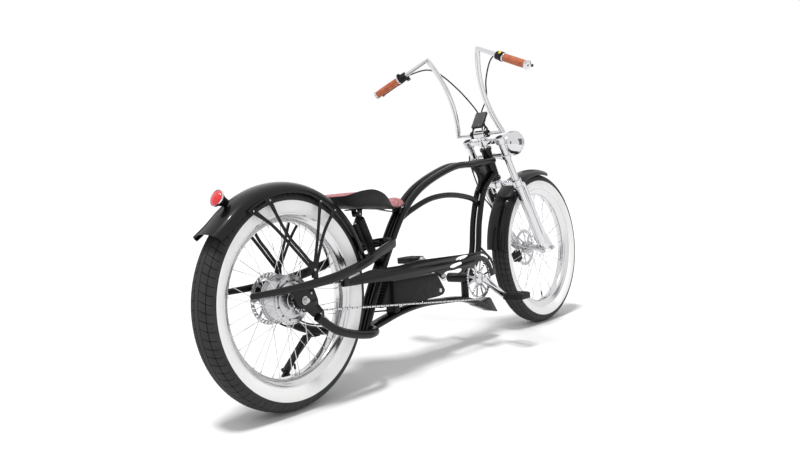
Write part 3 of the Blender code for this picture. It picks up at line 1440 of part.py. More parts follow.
def make_shock():
    low = Vector((SHOCK_LOW[0], 0, SHOCK_LOW[1]))
    length = math.dist(SHOCK_LOW, SHOCK_HIGH)
    bore = SHOCK_SHAFT_RADIUS + 0.0006
    body = [
        (0, 0.004),
        (0.011, 0.004),
        (SHOCK_BODY_RADIUS, 0.018),
        (SHOCK_BODY_RADIUS, length * 0.55),
        (SHOCK_BODY_RADIUS - 0.004, length * 0.57),
        (bore, length * 0.57),
        (bore, 0.022),
        (0, 0.022),
    ]
    shapes = [
        turned(body, 10, low, SHOCK_AXIS),
        rod(low - Vector((0, 0.0145, 0)), low + Vector((0, 0.0145, 0)), 0.010, 10),
        rod(low - Vector((0, 0.024, 0)), low + Vector((0, 0.024, 0)), 0.004, 8),
    ]
    add_piece("shock_body", union(shapes), MATTE, "shock_tilt")

    high = low + SHOCK_AXIS * length
    shaft = [
        (0, length * 0.36),
        (SHOCK_SHAFT_RADIUS, length * 0.36),
        (SHOCK_SHAFT_RADIUS, length * 0.74),
        (SHOCK_CAP_RADIUS - 0.002, length * 0.74),
        (SHOCK_CAP_RADIUS, length * 0.77),
        (SHOCK_CAP_RADIUS, length * 0.88),
        (0.008, length * 0.95),
        (0, length * 0.95),
    ]
    back = Vector((-SHOCK_AXIS.z, 0, SHOCK_AXIS.x))
    reservoir = low + back * (SHOCK_BODY_RADIUS + 0.0125)
    profile = [(0, length * 0.42), (0.009, length * 0.43), (0.011, length * 0.46), (0.011, length * 0.84), (0, length * 0.86)]
    shapes = [
        turned(shaft, 10, low, SHOCK_AXIS),
        rod(high - Vector((0, 0.0110, 0)), high + Vector((0, 0.0110, 0)), 0.0095, 10),
        turned(profile, 8, reservoir, SHOCK_AXIS),
        rod(high - Vector((0, 0.0160, 0)), high + Vector((0, 0.0160, 0)), 0.0040, 8),
    ]
    add_piece("shock_shaft", union(shapes), CHROME, "shock_slide")


# Kickstand


def floor_height(x, y):
    """The height, in the bike's frame, of the floor under a point."""
    sink = -floor_drop() + x * math.sin(PITCH)
    return (sink / math.cos(PITCH) - y * math.sin(-LEAN)) / math.cos(LEAN)


def floor_drop():
    return tyre_drop(REAR_TYRE_RADIUS, REAR_TYRE_HALF_WIDTH)


PITCH = math.asin(
    (
        tyre_drop(REAR_TYRE_RADIUS, REAR_TYRE_HALF_WIDTH)
        - tyre_drop(FRONT_TYRE_RADIUS, FRONT_TYRE_HALF_WIDTH)
    )
    / WHEELBASE
)
TO_FLOOR = Matrix.Rotation(PITCH, 4, "Y") @ Matrix.Rotation(-LEAN, 4, "X")
WORLD_UP = TO_FLOOR.inverted().to_3x3() @ Vector((0, 0, 1))


def stand_foot():
    x, y = STAND_FOOT
    return Vector((x, y, floor_height(x, y)))


def make_kickstand():
    pivot = Vector(STAND_PIVOT)
    axis = stand_axis()[0]
    foot = stand_foot()
    ankle = foot + WORLD_UP * 0.012
    leg = smooth_path([pivot, pivot.lerp(ankle, 0.35) + Vector((-0.006, 0, 0)), ankle], 6)
    pad = [(0, 0), (STAND_FOOT_RADIUS, 0), (STAND_FOOT_RADIUS, 0.006), (STAND_RADIUS + 0.002, 0.018), (0, 0.022)]
    shapes = [
        sweep(leg, ring_section(STAND_RADIUS, 8), up=(1, 0, 0)),
        turned(pad, 10, foot, WORLD_UP),
        rod(pivot - axis * STAND_KNUCKLE_HALF, pivot + axis * STAND_KNUCKLE_HALF, STAND_KNUCKLE_RADIUS, 16),
    ]
    add_piece("kickstand", union(shapes), BLACK, "kickstand")


def stand_axis():
    """The kickstand's hinge turns the leg from its standing direction to one that points back along the stay."""
    standing = (stand_foot() - Vector(STAND_PIVOT)).normalized()
    stowed = Vector((-0.97, 0.24, 0.05)).normalized()
    return standing.cross(stowed).normalized(), standing.angle(stowed)


# Cables

FORK_CABLE_ROUTE = [
    (1.335, 0.010, 0.590),
    (1.345, 0.040, 0.545),
    (1.345, 0.090, 0.500),
    (1.350, 0.114, 0.450),
    (1.372, 0.115, 0.390),
    (1.400, 0.112, 0.325),
    (1.425, 0.100, 0.265),
    (1.458, 0.083, 0.212),
    (1.512, 0.082, 0.120),
    (1.560, 0.082, 0.038),
    (1.592, 0.076, 0.004),
]
REAR_CABLE_ROUTE = [
    (0.560, 0.031, -0.130),
    (0.480, 0.048, -0.124),
    (0.400, 0.076, -0.126),
    (0.310, 0.095, -0.140),
    (0.240, 0.096, -0.133),
    (0.180, 0.096, -0.116),
    (0.135, 0.096, -0.088),
    (0.117, 0.088, -0.055),
    (0.113, 0.076, -0.025),
]
MOTOR_CABLE_ROUTE = [
    (0, REAR_AXLE_HALF_LENGTH + 0.0020, 0),
    (0, 0.1250, 0),
    (0.003, 0.1305, -0.012),
    (0.014, 0.1310, -0.040),
    (0.060, 0.1310, -0.086),
    (0.110, 0.1310, -0.116),
    (0.143, 0.1275, -0.1265),
    (0.152, 0.1200, -0.128),
    (0.152, 0.1110, -0.128),
]


def lever_cable_start(side):
    """A brake cable leaves the inboard face of its lever's perch along the bar."""
    _, forward, _ = lever_frame(side)
    start = grip_place(side, LEVER_CLAMP_INWARD + 0.008 + 2 * GAP) + forward * 0.027
    return [start, start - GRIP_AXIS[side] * 0.018]


def make_cables():
    down_bar = [(1.150, 0.175, 0.868), (1.180, 0.130, 0.845), (1.225, 0.080, 0.780), (1.275, 0.045, 0.710)]
    into_stem = [(1.312, 0.024, 0.650), (1.324, 0.018, 0.600), (1.318, 0.016, 0.545)]
    up_fork = [(1.318, 0.012, 0.650)]
    rear_upper = lever_cable_start("left") + down_bar + into_stem
    front = lever_cable_start("right") + [mirrored(p) for p in down_bar] + up_fork + FORK_CABLE_ROUTE
    add_cable("rear_brake_cable_upper", "steering", BRAKE_CABLE_RADIUS, 16, rear_upper)
    add_cable("front_brake_cable", "steering", BRAKE_CABLE_RADIUS, 27, front)
    add_cable("rear_brake_cable_lower", "bike", BRAKE_CABLE_RADIUS, 14, REAR_CABLE_ROUTE)
    add_cable("motor_cable", "bike", MOTOR_CABLE_RADIUS, 14, MOTOR_CABLE_ROUTE)


def add_cable(name, pivot, radius, count, route):
    empty, matrix = PIVOTS[pivot]
    points = smooth_path(route, count)
    curve = bpy.data.curves.new(name, "CURVE")
    curve.dimensions = "3D"
    curve.bevel_depth = radius
    curve.bevel_resolution = 2
    curve.use_fill_caps = True
    spline = curve.splines.new("POLY")
    spline.points.add(len(points) - 1)
    for spot, point in zip(spline.points, points):
        spot.co = (*(matrix.inverted() @ point), 1)
    curve.materials.append(material(MATTE))
    cable = bpy.data.objects.new(name, curve)
    bpy.context.scene.collection.objects.link(cable)
    cable.parent = empty


def add_pivots():
    add_pivot("bike")
    add_pivot("rear_wheel", axis=(0, 1, 0), parent="bike")
    add_pivot("freewheel", axis=(0, 1, 0), parent="bike")
    add_pivot("crank", (CRANK_CENTRE[0], 0, CRANK_CENTRE[1]), (0, 1, 0), "bike")
    for side in ("left", "right"):
        x, z = pedal_centre(side)
        y = (CRANK_Y if side == "left" else -CRANK_Y)
        add_pivot("pedal_" + side, (x, y, z), (0, 1, 0), "crank")
    add_pivot("steering", head_point(0.43), HEAD_AXIS, "bike")
    add_pivot("front_wheel", (WHEELBASE, 0, 0), (0, 1, 0), "steering")
    add_pivot("headlamp", (LAMP_PIVOT[0], 0, LAMP_PIVOT[1]), (0, 1, 0), "steering")
    add_pivot("throttle", handed("right", GRIP_INNER), GRIP_AXIS["right"], "steering")
    for side, button in (("left", "switch_button"), ("right", "throttle_button")):
        pivot, _, upward = lever_frame(side)
        add_pivot("brake_lever_" + side, pivot, upward, "steering")
        place, back = button_frame(side)
        add_pivot(button, place, -back, "steering")
    add_pivot("seat", (SEAT_PIVOT[0], 0, SEAT_PIVOT[1]), (0, 1, 0), "bike")
    add_pivot("shock_tilt", (SHOCK_LOW[0], 0, SHOCK_LOW[1]), (0, 1, 0), "bike")
    add_pivot("shock_slide", (SHOCK_LOW[0], 0, SHOCK_LOW[1]), -SHOCK_AXIS, "shock_tilt")
    add_pivot("kickstand", STAND_PIVOT, stand_axis()[0], "bike")


def stand_on_floor():
    """Leans the bike, then sets its tyres and foot on the floor with the box's bottom centre at the origin."""
    bike = PIVOTS["bike"][0]
    bike.matrix_world = TO_FLOOR
    bpy.context.view_layer.update()
    graph = bpy.context.evaluated_depsgraph_get()
    low = Vector((math.inf,) * 3)
    high = -low
    for obj in bpy.data.objects:
        if obj.type not in ("MESH", "CURVE"):
            continue
        evaluated = obj.evaluated_get(graph)
        mesh = evaluated.to_mesh()
        for vert in mesh.vertices:
            place = evaluated.matrix_world @ vert.co
            low = Vector(map(min, low, place))
            high = Vector(map(max, high, place))
        evaluated.to_mesh_clear()
    middle = (low + high) / 2
    bike.matrix_world = Matrix.Translation((-middle.x, -middle.y, -low.z)) @ TO_FLOOR
    bpy.context.view_layer.update()


add_pivots()
make_frame()
make_tyre("rear_tyre", 0, REAR_TYRE_RADIUS, REAR_TYRE_HALF_WIDTH, "rear_wheel")
make_rim("rear_rim_and_spokes", 0, REAR_RIM_HALF_WIDTH, MOTOR_FLANGE_RADIUS - 0.0045, MOTOR_FLANGE_Y, 1, "rear_wheel")
make_rear_hub()
make_rotor("rear_rotor", 0, REAR_ROTOR_Y, "rear_wheel")
make_axle("rear_axle", 0, REAR_AXLE_RADIUS, REAR_AXLE_HALF_LENGTH, 0.0110, DROPOUT_Y + DROPOUT_THICKNESS / 2 + GAP, "bike")
make_tyre("front_tyre", WHEELBASE, FRONT_TYRE_RADIUS, FRONT_TYRE_HALF_WIDTH, "front_wheel")
make_rim("front_rim_and_spokes", WHEELBASE, FRONT_RIM_HALF_WIDTH, FRONT_FLANGE_RADIUS - 0.0045, FRONT_FLANGE_Y, 3, "front_wheel")
make_front_hub()
make_rotor("front_rotor", WHEELBASE, FRONT_ROTOR_Y, "front_wheel")
make_axle("front_axle", WHEELBASE, FRONT_AXLE_RADIUS, 0.094, 0.0085, LEG_Y + 0.003 + GAP, "steering")
make_chain()
make_chainring()
make_freewheel()
make_cranks()
make_pedals()
make_guard()
make_battery()
make_fenders()
make_fender_stays()
make_tail_lamp()
make_fork()
make_caliper("rear_brake_caliper", 0, -6, REAR_ROTOR_Y, 0.0600, 0.0860, "bike")
make_caliper("front_brake_caliper", WHEELBASE, 205, FRONT_ROTOR_Y, 0.0460, 0.0780, "steering")
make_grips(make_handlebar())
make_brake_levers()
make_controls()
make_display()
make_headlamp()
make_seat()
make_shock()
make_kickstand()
make_cables()
stand_on_floor()
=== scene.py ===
# Electric stretch cruiser bicycle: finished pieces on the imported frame.
import json
import math
import bpy
from mathutils import Matrix, Vector


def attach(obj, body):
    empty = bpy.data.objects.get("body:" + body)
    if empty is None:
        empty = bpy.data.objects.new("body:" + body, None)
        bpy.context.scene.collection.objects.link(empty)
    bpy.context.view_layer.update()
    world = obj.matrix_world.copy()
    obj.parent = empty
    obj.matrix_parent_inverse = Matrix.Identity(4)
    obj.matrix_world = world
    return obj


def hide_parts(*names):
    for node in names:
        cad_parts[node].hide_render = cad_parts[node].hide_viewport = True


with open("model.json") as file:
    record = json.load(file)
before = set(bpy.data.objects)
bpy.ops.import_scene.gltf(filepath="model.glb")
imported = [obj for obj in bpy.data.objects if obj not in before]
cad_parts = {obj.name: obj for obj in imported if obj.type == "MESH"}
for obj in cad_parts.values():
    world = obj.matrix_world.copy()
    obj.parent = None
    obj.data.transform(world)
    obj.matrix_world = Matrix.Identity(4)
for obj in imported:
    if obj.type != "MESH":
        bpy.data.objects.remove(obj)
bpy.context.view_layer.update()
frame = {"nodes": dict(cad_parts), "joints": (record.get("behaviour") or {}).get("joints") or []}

# The bike's own axes: rear axle at the origin, x forward, y left, z up, leaned over on its stand
joints = {joint["name"]: joint for joint in frame["joints"]}

rearHub = Vector(joints["rear_wheel_spin"]["pos_m"])

frontHub = Vector(joints["front_wheel_spin"]["pos_m"])

sideways = Vector(joints["rear_wheel_spin"]["axis"]).normalized()

forwards = (frontHub - rearHub).normalized()

upwards = forwards.cross(sideways)

bikePlace = Matrix((forwards, sideways, upwards)).transposed().to_4x4()
bikePlace.translation = rearHub
bikeTurn = bikePlace.to_euler()

wheelbase = (frontHub - rearHub).length


# Camera, studio and floor

studio = {
    "focalLength": 33.49,
    "shift": (0.1365, -0.026),
    "cameraRight": (0.71999535, -0.68924142, -0.08095036),
    "cameraUp": (0.06236073, -0.05191793, 0.9967024),
    "cameraPlace": (-1.6776, -1.8191, 0.3277),
    "worldLevel": 0.66,
    "keyLevel": 2.3,
    "keySoftness": math.radians(10),
    "keyAim": (0.25, 0.10, -0.96),
    "floorColour": (0.86, 0.86, 0.86, 1),
    "cards": 6,
    "cardSize": (0.85, 2.6),
    "cardReach": 4.2,
    "cardColour": (0.17, 0.17, 0.18, 1),
}


def clearSelection():
    if bpy.context.object and bpy.context.object.mode != "OBJECT":
        bpy.ops.object.mode_set(mode="OBJECT")
    bpy.ops.object.select_all(action="DESELECT")


def addCamera():
    clearSelection()
    bpy.ops.object.camera_add()
    camera = bpy.context.object
    right = Vector(studio["cameraRight"])
    up = Vector(studio["cameraUp"])
    turn = Matrix((right, up, right.cross(up))).transposed().to_4x4()
    camera.matrix_world = bikePlace @ Matrix.Translation(studio["cameraPlace"]) @ turn
    camera.data.lens = studio["focalLength"]
    camera.data.sensor_width = 36
    camera.data.shift_x, camera.data.shift_y = studio["shift"]
    camera.data.clip_start = 0.05
    bpy.context.scene.camera = camera


def addStudio():
    scene = bpy.context.scene
    scene.view_settings.view_transform = "Standard"
    world = bpy.data.worlds.new("studioWhite")
    scene.world = world
    world.use_nodes = True
    nodes = world.node_tree.nodes
    links = world.node_tree.links
    nodes.clear()
    out = nodes.new("ShaderNodeOutputWorld")
    shown = nodes.new("ShaderNodeBackground")
    lighting = nodes.new("ShaderNodeBackground")
    lighting.inputs["Strength"].default_value = studio["worldLevel"]
    for background in (shown, lighting):
        background.inputs["Color"].default_value = (1, 1, 1, 1)
    ray = nodes.new("ShaderNodeLightPath")
    seen = nodes.new("ShaderNodeMath")
    seen.operation = "MAXIMUM"
    either = nodes.new("ShaderNodeMath")
    either.operation = "MAXIMUM"
    mix = nodes.new("ShaderNodeMixShader")
    links.new(ray.outputs["Is Camera Ray"], seen.inputs[0])
    links.new(ray.outputs["Is Glossy Ray"], seen.inputs[1])
    links.new(seen.outputs[0], either.inputs[0])
    links.new(ray.outputs["Is Transmission Ray"], either.inputs[1])
    links.new(either.outputs[0], mix.inputs[0])
    links.new(lighting.outputs[0], mix.inputs[1])
    links.new(shown.outputs[0], mix.inputs[2])
    links.new(mix.outputs[0], out.inputs["Surface"])

    clearSelection()
    bpy.ops.object.light_add(type="SUN", location=(0, 0, 4))
    key = bpy.context.object
    key.data.energy = studio["keyLevel"]
    key.data.angle = studio["keySoftness"]
    aim = bikePlace.to_3x3() @ Vector(studio["keyAim"])
    key.rotation_euler = aim.to_track_quat("-Z", "Y").to_euler()

    clearSelection()
    bpy.ops.mesh.primitive_plane_add(size=14)
    floor = bpy.context.object
    floor.name = "studioFloor"
    look = bpy.data.materials.new("paleFloor")
    look.use_nodes = True
    nodes = look.node_tree.nodes
    links = look.node_tree.links
    shader = nodes["Principled BSDF"]
    shader.inputs["Base Color"].default_value = studio["floorColour"]
    shader.inputs["Roughness"].default_value = 0.9
    shader.inputs["Specular IOR Level"].default_value = 0.1
    floor.data.materials.append(look)


def addCards():
    # tall dark cards round the bike that only reflections see, so that chrome has lines to show
    look = bpy.data.materials.new("darkCard")
    look.use_nodes = True
    shader = look.node_tree.nodes["Principled BSDF"]
    shader.inputs["Base Color"].default_value = studio["cardColour"]
    shader.inputs["Roughness"].default_value = 0.9
    for i in range(studio["cards"]):
        turn = 2 * math.pi * (i + 0.35) / studio["cards"]
        reach = studio["cardReach"]
        clearSelection()
        place = (reach * math.cos(turn), reach * math.sin(turn), studio["cardSize"][1] / 2 + 0.25)
        bpy.ops.mesh.primitive_plane_add(size=1, location=place, rotation=(math.pi / 2, 0, turn + math.pi / 2))
        card = bpy.context.object
        card.name = f"darkCard{i + 1}"
        card.scale = (*studio["cardSize"], 1)
        card.data.materials.append(look)
        card.visible_camera = False
        card.visible_diffuse = False
        card.visible_transmission = False
        card.visible_shadow = False


addCamera()
addStudio()
addCards()
print("camera and studio are set")


# Finishes

finishes = {}


class Recipe:
    # a finish's node tree, with short calls for the nodes that the finishes share
    def __init__(self, key, name, colour, roughness, metallic=0.0, specular=0.5, coat=0.0, coatRoughness=0.03,
                 clearness=0.0):
        self.material = bpy.data.materials.new(name)
        self.material.use_nodes = True
        self.nodes = self.material.node_tree.nodes
        self.links = self.material.node_tree.links
        self.shader = self.nodes["Principled BSDF"]
        self.shader.inputs["Base Color"].default_value = (*colour, 1)
        for socket, level in (
            ("Roughness", roughness), ("Metallic", metallic), ("Specular IOR Level", specular),
            ("Coat Weight", coat), ("Coat Roughness", coatRoughness), ("Transmission Weight", clearness),
        ):
            self.shader.inputs[socket].default_value = level
        self.place = self.nodes.new("ShaderNodeTexCoord").outputs["Object"]
        finishes[key] = self.material

    def mapped(self, scale=(1, 1, 1), centre=None):
        # the object's own coordinates, or the bike's axes about a centre point
        mapping = self.nodes.new("ShaderNodeMapping")
        if centre is not None:
            mapping.vector_type = "TEXTURE"
            mapping.inputs["Location"].default_value = bikePlace @ Vector(centre)
            mapping.inputs["Rotation"].default_value = bikeTurn
        mapping.inputs["Scale"].default_value = scale
        self.links.new(self.place, mapping.inputs["Vector"])
        return mapping.outputs["Vector"]

    def noise(self, scale, detail, rough=0.5, stretch=(1, 1, 1)):
        node = self.nodes.new("ShaderNodeTexNoise")
        for socket, level in (("Scale", scale), ("Detail", detail), ("Roughness", rough)):
            node.inputs[socket].default_value = level
        self.links.new(self.mapped(stretch), node.inputs["Vector"])
        return node.outputs["Fac"]

    def cells(self, scale, feature="F1"):
        node = self.nodes.new("ShaderNodeTexVoronoi")
        node.feature = feature
        node.inputs["Scale"].default_value = scale
        self.links.new(self.mapped(), node.inputs["Vector"])
        return node.outputs["Distance"]

    def ramp(self, value, stops):
        # colours the surface by a value
        node = self.nodes.new("ShaderNodeValToRGB")
        while len(node.color_ramp.elements) < len(stops):
            node.color_ramp.elements.new(0.5)
        for element, (at, colour) in zip(node.color_ramp.elements, stops):
            element.position = at
            element.color = (*colour, 1)
        self.links.new(value, node.inputs["Fac"])
        self.links.new(node.outputs["Color"], self.shader.inputs["Base Color"])

    def uneven(self, value, low, high):
        # roughness that drifts between two levels
        node = self.nodes.new("ShaderNodeMapRange")
        for socket, number in (("From Min", 0.3), ("From Max", 0.7), ("To Min", low), ("To Max", high)):
            node.inputs[socket].default_value = number
        self.links.new(value, node.inputs["Value"])
        self.links.new(node.outputs["Result"], self.shader.inputs["Roughness"])

    def bump(self, height, strength, distance=0.001, under=None):
        node = self.nodes.new("ShaderNodeBump")
        node.inputs["Strength"].default_value = strength
        node.inputs["Distance"].default_value = distance
        self.links.new(height, node.inputs["Height"])
        if under:
            self.links.new(under, node.inputs["Normal"])
        self.links.new(node.outputs["Normal"], self.shader.inputs["Normal"])
        return node.outputs["Normal"]

    def ribs(self, pitch, strength, distance):
        # fine upright ribs, one after another across the bike
        across = self.nodes.new("ShaderNodeSeparateXYZ")
        self.links.new(self.mapped(centre=(0, 0, 0)), across.inputs[0])
        value = across.outputs[1]
        for operation, second in (("MULTIPLY", pitch), ("SINE", 0.0)):
            node = self.nodes.new("ShaderNodeMath")
            node.operation = operation
            node.inputs[1].default_value = second
            self.links.new(value, node.inputs[0])
            value = node.outputs[0]
        self.bump(value, strength, distance)


plainFinishes = {
    # material, colour, roughness, metallic, specular; scale and detail of its noise; lowest, highest roughness
    "chrome": ("brightChrome", (0.68, 0.68, 0.70), 0.06, 1.0, 0.5, 30, 4, 0.04, 0.10),
    "rim": ("softChrome", (0.70, 0.70, 0.71), 0.2, 1.0, 0.5, 24, 4, 0.15, 0.24),
    "alloy": ("castAlloy", (0.54, 0.54, 0.55), 0.34, 1.0, 0.5, 60, 5, 0.20, 0.32),
    "dark": ("darkSteel", (0.04, 0.04, 0.045), 0.4, 0.6, 0.5, 90, 3, 0.32, 0.50),
    "satin": ("satinBlackPlastic", (0.008, 0.008, 0.009), 0.5, 0.0, 0.22, 40, 4, 0.42, 0.60),
    # the grooves' near-black colour is painted shade in the tread's recesses, not a different rubber
    "grooveShade": ("treadGroovePaintedShade", (0.004, 0.004, 0.004), 0.9, 0.0, 0.05, 90, 3, 0.8, 0.95),
    "shell": ("charcoalSeatShell", (0.022, 0.020, 0.020), 0.6, 0.0, 0.2, 50, 4, 0.52, 0.68),
    "yellow": ("yellowButtonPlastic", (0.80, 0.62, 0.02), 0.4, 0.0, 0.3, 300, 2, 0.34, 0.48),
    "cable": ("blackCableCover", (0.006, 0.006, 0.007), 0.42, 0.0, 0.2, 400, 3, 0.36, 0.52),
}


def makeFinishes():
    plain = {}
    for key, (name, colour, roughness, metallic, specular, scale, detail, low, high) in plainFinishes.items():
        plain[key] = Recipe(key, name, colour, roughness, metallic, specular)
        plain[key].uneven(plain[key].noise(scale, detail), low, high)
    plain["satin"].bump(plain["satin"].noise(1500, 2), 0.12, 0.0004)
    plain["alloy"].bump(plain["alloy"].noise(900, 3), 0.10, 0.0003)
    plain["shell"].bump(plain["shell"].cells(1200), 0.15, 0.0003)

    gloss = Recipe("gloss", "glossBlackPaint", (0.005, 0.005, 0.006), 0.30, specular=0.08, coat=0.36)
    gloss.uneven(gloss.noise(9, 2), 0.20, 0.36)
    gloss.bump(gloss.noise(260, 2), 0.03)

    steel = Recipe("steel", "platedSteel", (0.55, 0.55, 0.56), 0.28, 1.0)
    steel.uneven(steel.noise(120, 4, stretch=(1, 1, 12)), 0.20, 0.40)

    tread = Recipe("tread", "treadRubber", (0.030, 0.030, 0.032), 0.72, specular=0.25)
    dust = tread.noise(30, 5)
    tread.ramp(dust, ((0.3, (0.022, 0.022, 0.023)), (0.7, (0.040, 0.040, 0.042))))
    tread.uneven(dust, 0.62, 0.82)
    tread.bump(tread.noise(500, 3), 0.2, 0.0004)

    wall = Recipe("wall", "whiteWall", (0.90, 0.90, 0.89), 0.55, specular=0.3)
    wall.ramp(wall.noise(14, 5), ((0.25, (0.87, 0.87, 0.865)), (0.75, (0.92, 0.92, 0.915))))
    wall.bump(wall.noise(700, 2), 0.05, 0.0004)

    grip = Recipe("grip", "tanGripLeather", (0.52, 0.13, 0.06), 0.55, specular=0.3)
    mottle = grip.noise(55, 4)
    grip.ramp(mottle, ((0.25, (0.34, 0.080, 0.034)), (0.75, (0.56, 0.17, 0.080))))
    grip.uneven(mottle, 0.48, 0.66)
    grip.bump(grip.cells(900), 0.25, 0.0005)

    rose = Recipe("rose", "roseSaddleLeather", (0.46, 0.19, 0.20), 0.62, specular=0.25)
    cloud = rose.noise(60, 6, 0.68)
    rose.ramp(cloud, ((0.30, (0.23, 0.095, 0.115)), (0.48, (0.43, 0.16, 0.175)), (0.70, (0.56, 0.31, 0.32))))
    rose.uneven(cloud, 0.5, 0.75)
    creases = rose.bump(rose.cells(330, "DISTANCE_TO_EDGE"), 0.35, 0.0006)
    rose.bump(rose.noise(120, 4), 0.25, 0.001, creases)

    red = Recipe("red", "redLampLens", (0.72, 0.010, 0.018), 0.12, coat=0.5)
    red.ribs(2200, 0.3, 0.0004)
    clear = Recipe("clear", "clearLampLens", (0.95, 0.96, 0.97), 0.05, clearness=0.95)
    clear.ribs(900, 0.25, 0.0005)

    face = (0.060, 0.060, 0.062)
    screen = Recipe("screen", "greyDisplayFace", face, 0.34, specular=0.2, coat=0.3, coatRoughness=0.15)
    screen.uneven(screen.noise(200, 3), 0.28, 0.42)


makeFinishes()
print("finishes are mixed")


# Shaping helpers; all points are in the bike's own axes


def paint(obj, finish):
    obj.data.materials.clear()
    obj.data.materials.append(finishes[finish])
    return obj


def moveMesh(obj, matrix):
    obj.data.transform(matrix)
    return obj


def editAll(obj):
    clearSelection()
    bpy.context.view_layer.objects.active = obj
    obj.select_set(True)
    bpy.ops.object.mode_set(mode="EDIT")
    bpy.ops.mesh.select_all(action="SELECT")


def closeShape(obj, merge=0.00001):
    editAll(obj)
    bpy.ops.mesh.remove_doubles(threshold=merge)
    bpy.ops.mesh.dissolve_degenerate(threshold=0.000001)
    bpy.ops.mesh.delete_loose()
    bpy.ops.mesh.select_all(action="SELECT")
    bpy.ops.mesh.normals_make_consistent(inside=False)
    bpy.ops.object.mode_set(mode="OBJECT")
    return obj


def axisTurn(start, axis):
    # takes the z axis to this axis, from this point
    return Matrix.Translation(start) @ Vector(axis).to_track_quat("Z", "Y").to_matrix().to_4x4()


def lathe(profile, start, axis, steps=48, finish=None):
    # spins a closed outline of (radius, distance along the axis)
    clearSelection()
    bpy.ops.mesh.primitive_circle_add(vertices=len(profile), radius=1, location=(0, 0, 0))
    obj = bpy.context.object
    for vert, (radius, along) in zip(obj.data.vertices, profile):
        vert.co = (radius, 0, along)
    editAll(obj)
    bpy.ops.mesh.spin(steps=steps, angle=2 * math.pi, center=(0, 0, 0), axis=(0, 0, 1))
    closeShape(obj)
    moveMesh(obj, axisTurn(start, axis))
    return paint(obj, finish) if finish else obj


def rod(start, end, radius, finish, endRadius=None, edge=0.0006, steps=24):
    start = Vector(start)
    end = Vector(end)
    length = (end - start).length
    far = radius if endRadius is None else endRadius
    profile = [(0, 0), (radius - edge, 0), (radius, edge), (far, length - edge), (far - edge, length), (0, length)]
    return lathe(profile, start, end - start, steps, finish)


def ring(centre, axis, inner, outer, half, finish, edge=0.0008, steps=40):
    # a short collar, from half below its centre to half above it
    profile = [(inner, -half), (outer - edge, -half), (outer, edge - half)]
    profile += [(outer, half - edge), (outer - edge, half), (inner, half)]
    return lathe(profile, centre, axis, steps, finish)


def socketHead(radius, side, shoulder, top, mouth, floor, depth):
    # half the section of a screw's head with a round socket in it
    return [(0, 0), (radius, 0), (radius, side), (shoulder, top), (mouth, top), (floor, depth), (0, depth)]


def capScrew(place, axis, radius=0.0042, finish="steel"):
    head = socketHead(radius, radius * 0.6, radius * 0.8, radius * 0.85, radius * 0.45, radius * 0.4, radius * 0.3)
    return lathe(head, place, axis, 12, finish)


def onFlank(sign, near, far):
    # a stretch along y on one side of the bike, lower end first
    return sorted((sign * near, sign * far))


def curvePoint(a, b, c, d, t):
    # the smooth curve from b to c, with a before them and d after
    return 0.5 * (2 * b + (c - a) * t + (2 * a - 5 * b + 4 * c - d) * t**2 + (3 * b - a - 3 * c + d) * t**3)


def spaced(fine, count, spans):
    # count points along a fine line that is split into equal spans
    lengths = [0.0]
    for first, second in zip(fine, fine[1:]):
        lengths.append(lengths[-1] + (second - first).length)
    made = []
    at = 0
    for i in range(count):
        goal = lengths[-1] * i / spans
        while at < len(lengths) - 2 and lengths[at + 1] < goal:
            at += 1
        share = (goal - lengths[at]) / max(lengths[at + 1] - lengths[at], 1e-9)
        made.append(fine[at].lerp(fine[at + 1], min(share, 1.0)))
    return made


def smoothPath(points, count, cyclic=False):
    # evenly spaced points of a smooth curve through the given ones
    points = [Vector(p) for p in points]
    size = len(points)
    fine = []
    for i in range(size if cyclic else size - 1):
        places = [(i + k) % size if cyclic else min(max(i + k, 0), size - 1) for k in (-1, 0, 1, 2)]
        for step in range(16):
            fine.append(curvePoint(*(points[place] for place in places), step / 16))
    fine.append(points[0] if cyclic else points[-1])
    return spaced(fine, count, count if cyclic else count - 1)


def curveObject(loops, flat=False, cyclic=True):
    clearSelection()
    bpy.ops.curve.primitive_nurbs_path_add(location=(0, 0, 0))
    obj = bpy.context.object
    obj.data.splines.clear()
    obj.data.dimensions = "2D" if flat else "3D"
    for loop in loops:
        spline = obj.data.splines.new("POLY")
        spline.points.add(len(loop) - 1)
        spline.use_cyclic_u = cyclic
        for spot, point in zip(spline.points, loop):
            spot.co = (point[0], point[1], point[2] if len(point) > 2 else 0, 1)
    return obj


def meshed(obj):
    clearSelection()
    bpy.context.view_layer.objects.active = obj
    obj.select_set(True)
    bpy.ops.object.convert(target="MESH")
    return closeShape(bpy.context.object, 0.000005)


def tube(points, radius, finish, cyclic=False, oval=None, taper=None, resolution=5):
    # a round tube along the points, or one with an oval section of (half width, half height)
    obj = curveObject([points], cyclic=cyclic)
    obj.data.bevel_resolution = resolution
    obj.data.use_fill_caps = not cyclic
    if taper:
        for spot, size in zip(obj.data.splines[0].points, taper):
            spot.radius = size
    if not oval:
        obj.data.bevel_depth = radius
        return paint(meshed(obj), finish)
    section = []
    for i in range(24):
        turn = 2 * math.pi * i / 24
        x = math.copysign(abs(math.cos(turn)) ** 0.75, math.cos(turn))
        y = math.copysign(abs(math.sin(turn)) ** 0.75, math.sin(turn))
        section.append((oval[0] * x, oval[1] * y))
    outline = curveObject([section], flat=True)
    obj.data.twist_mode = "Z_UP"
    obj.data.bevel_mode = "OBJECT"
    obj.data.bevel_object = outline
    made = meshed(obj)
    bpy.data.objects.remove(outline)
    return paint(made, finish)


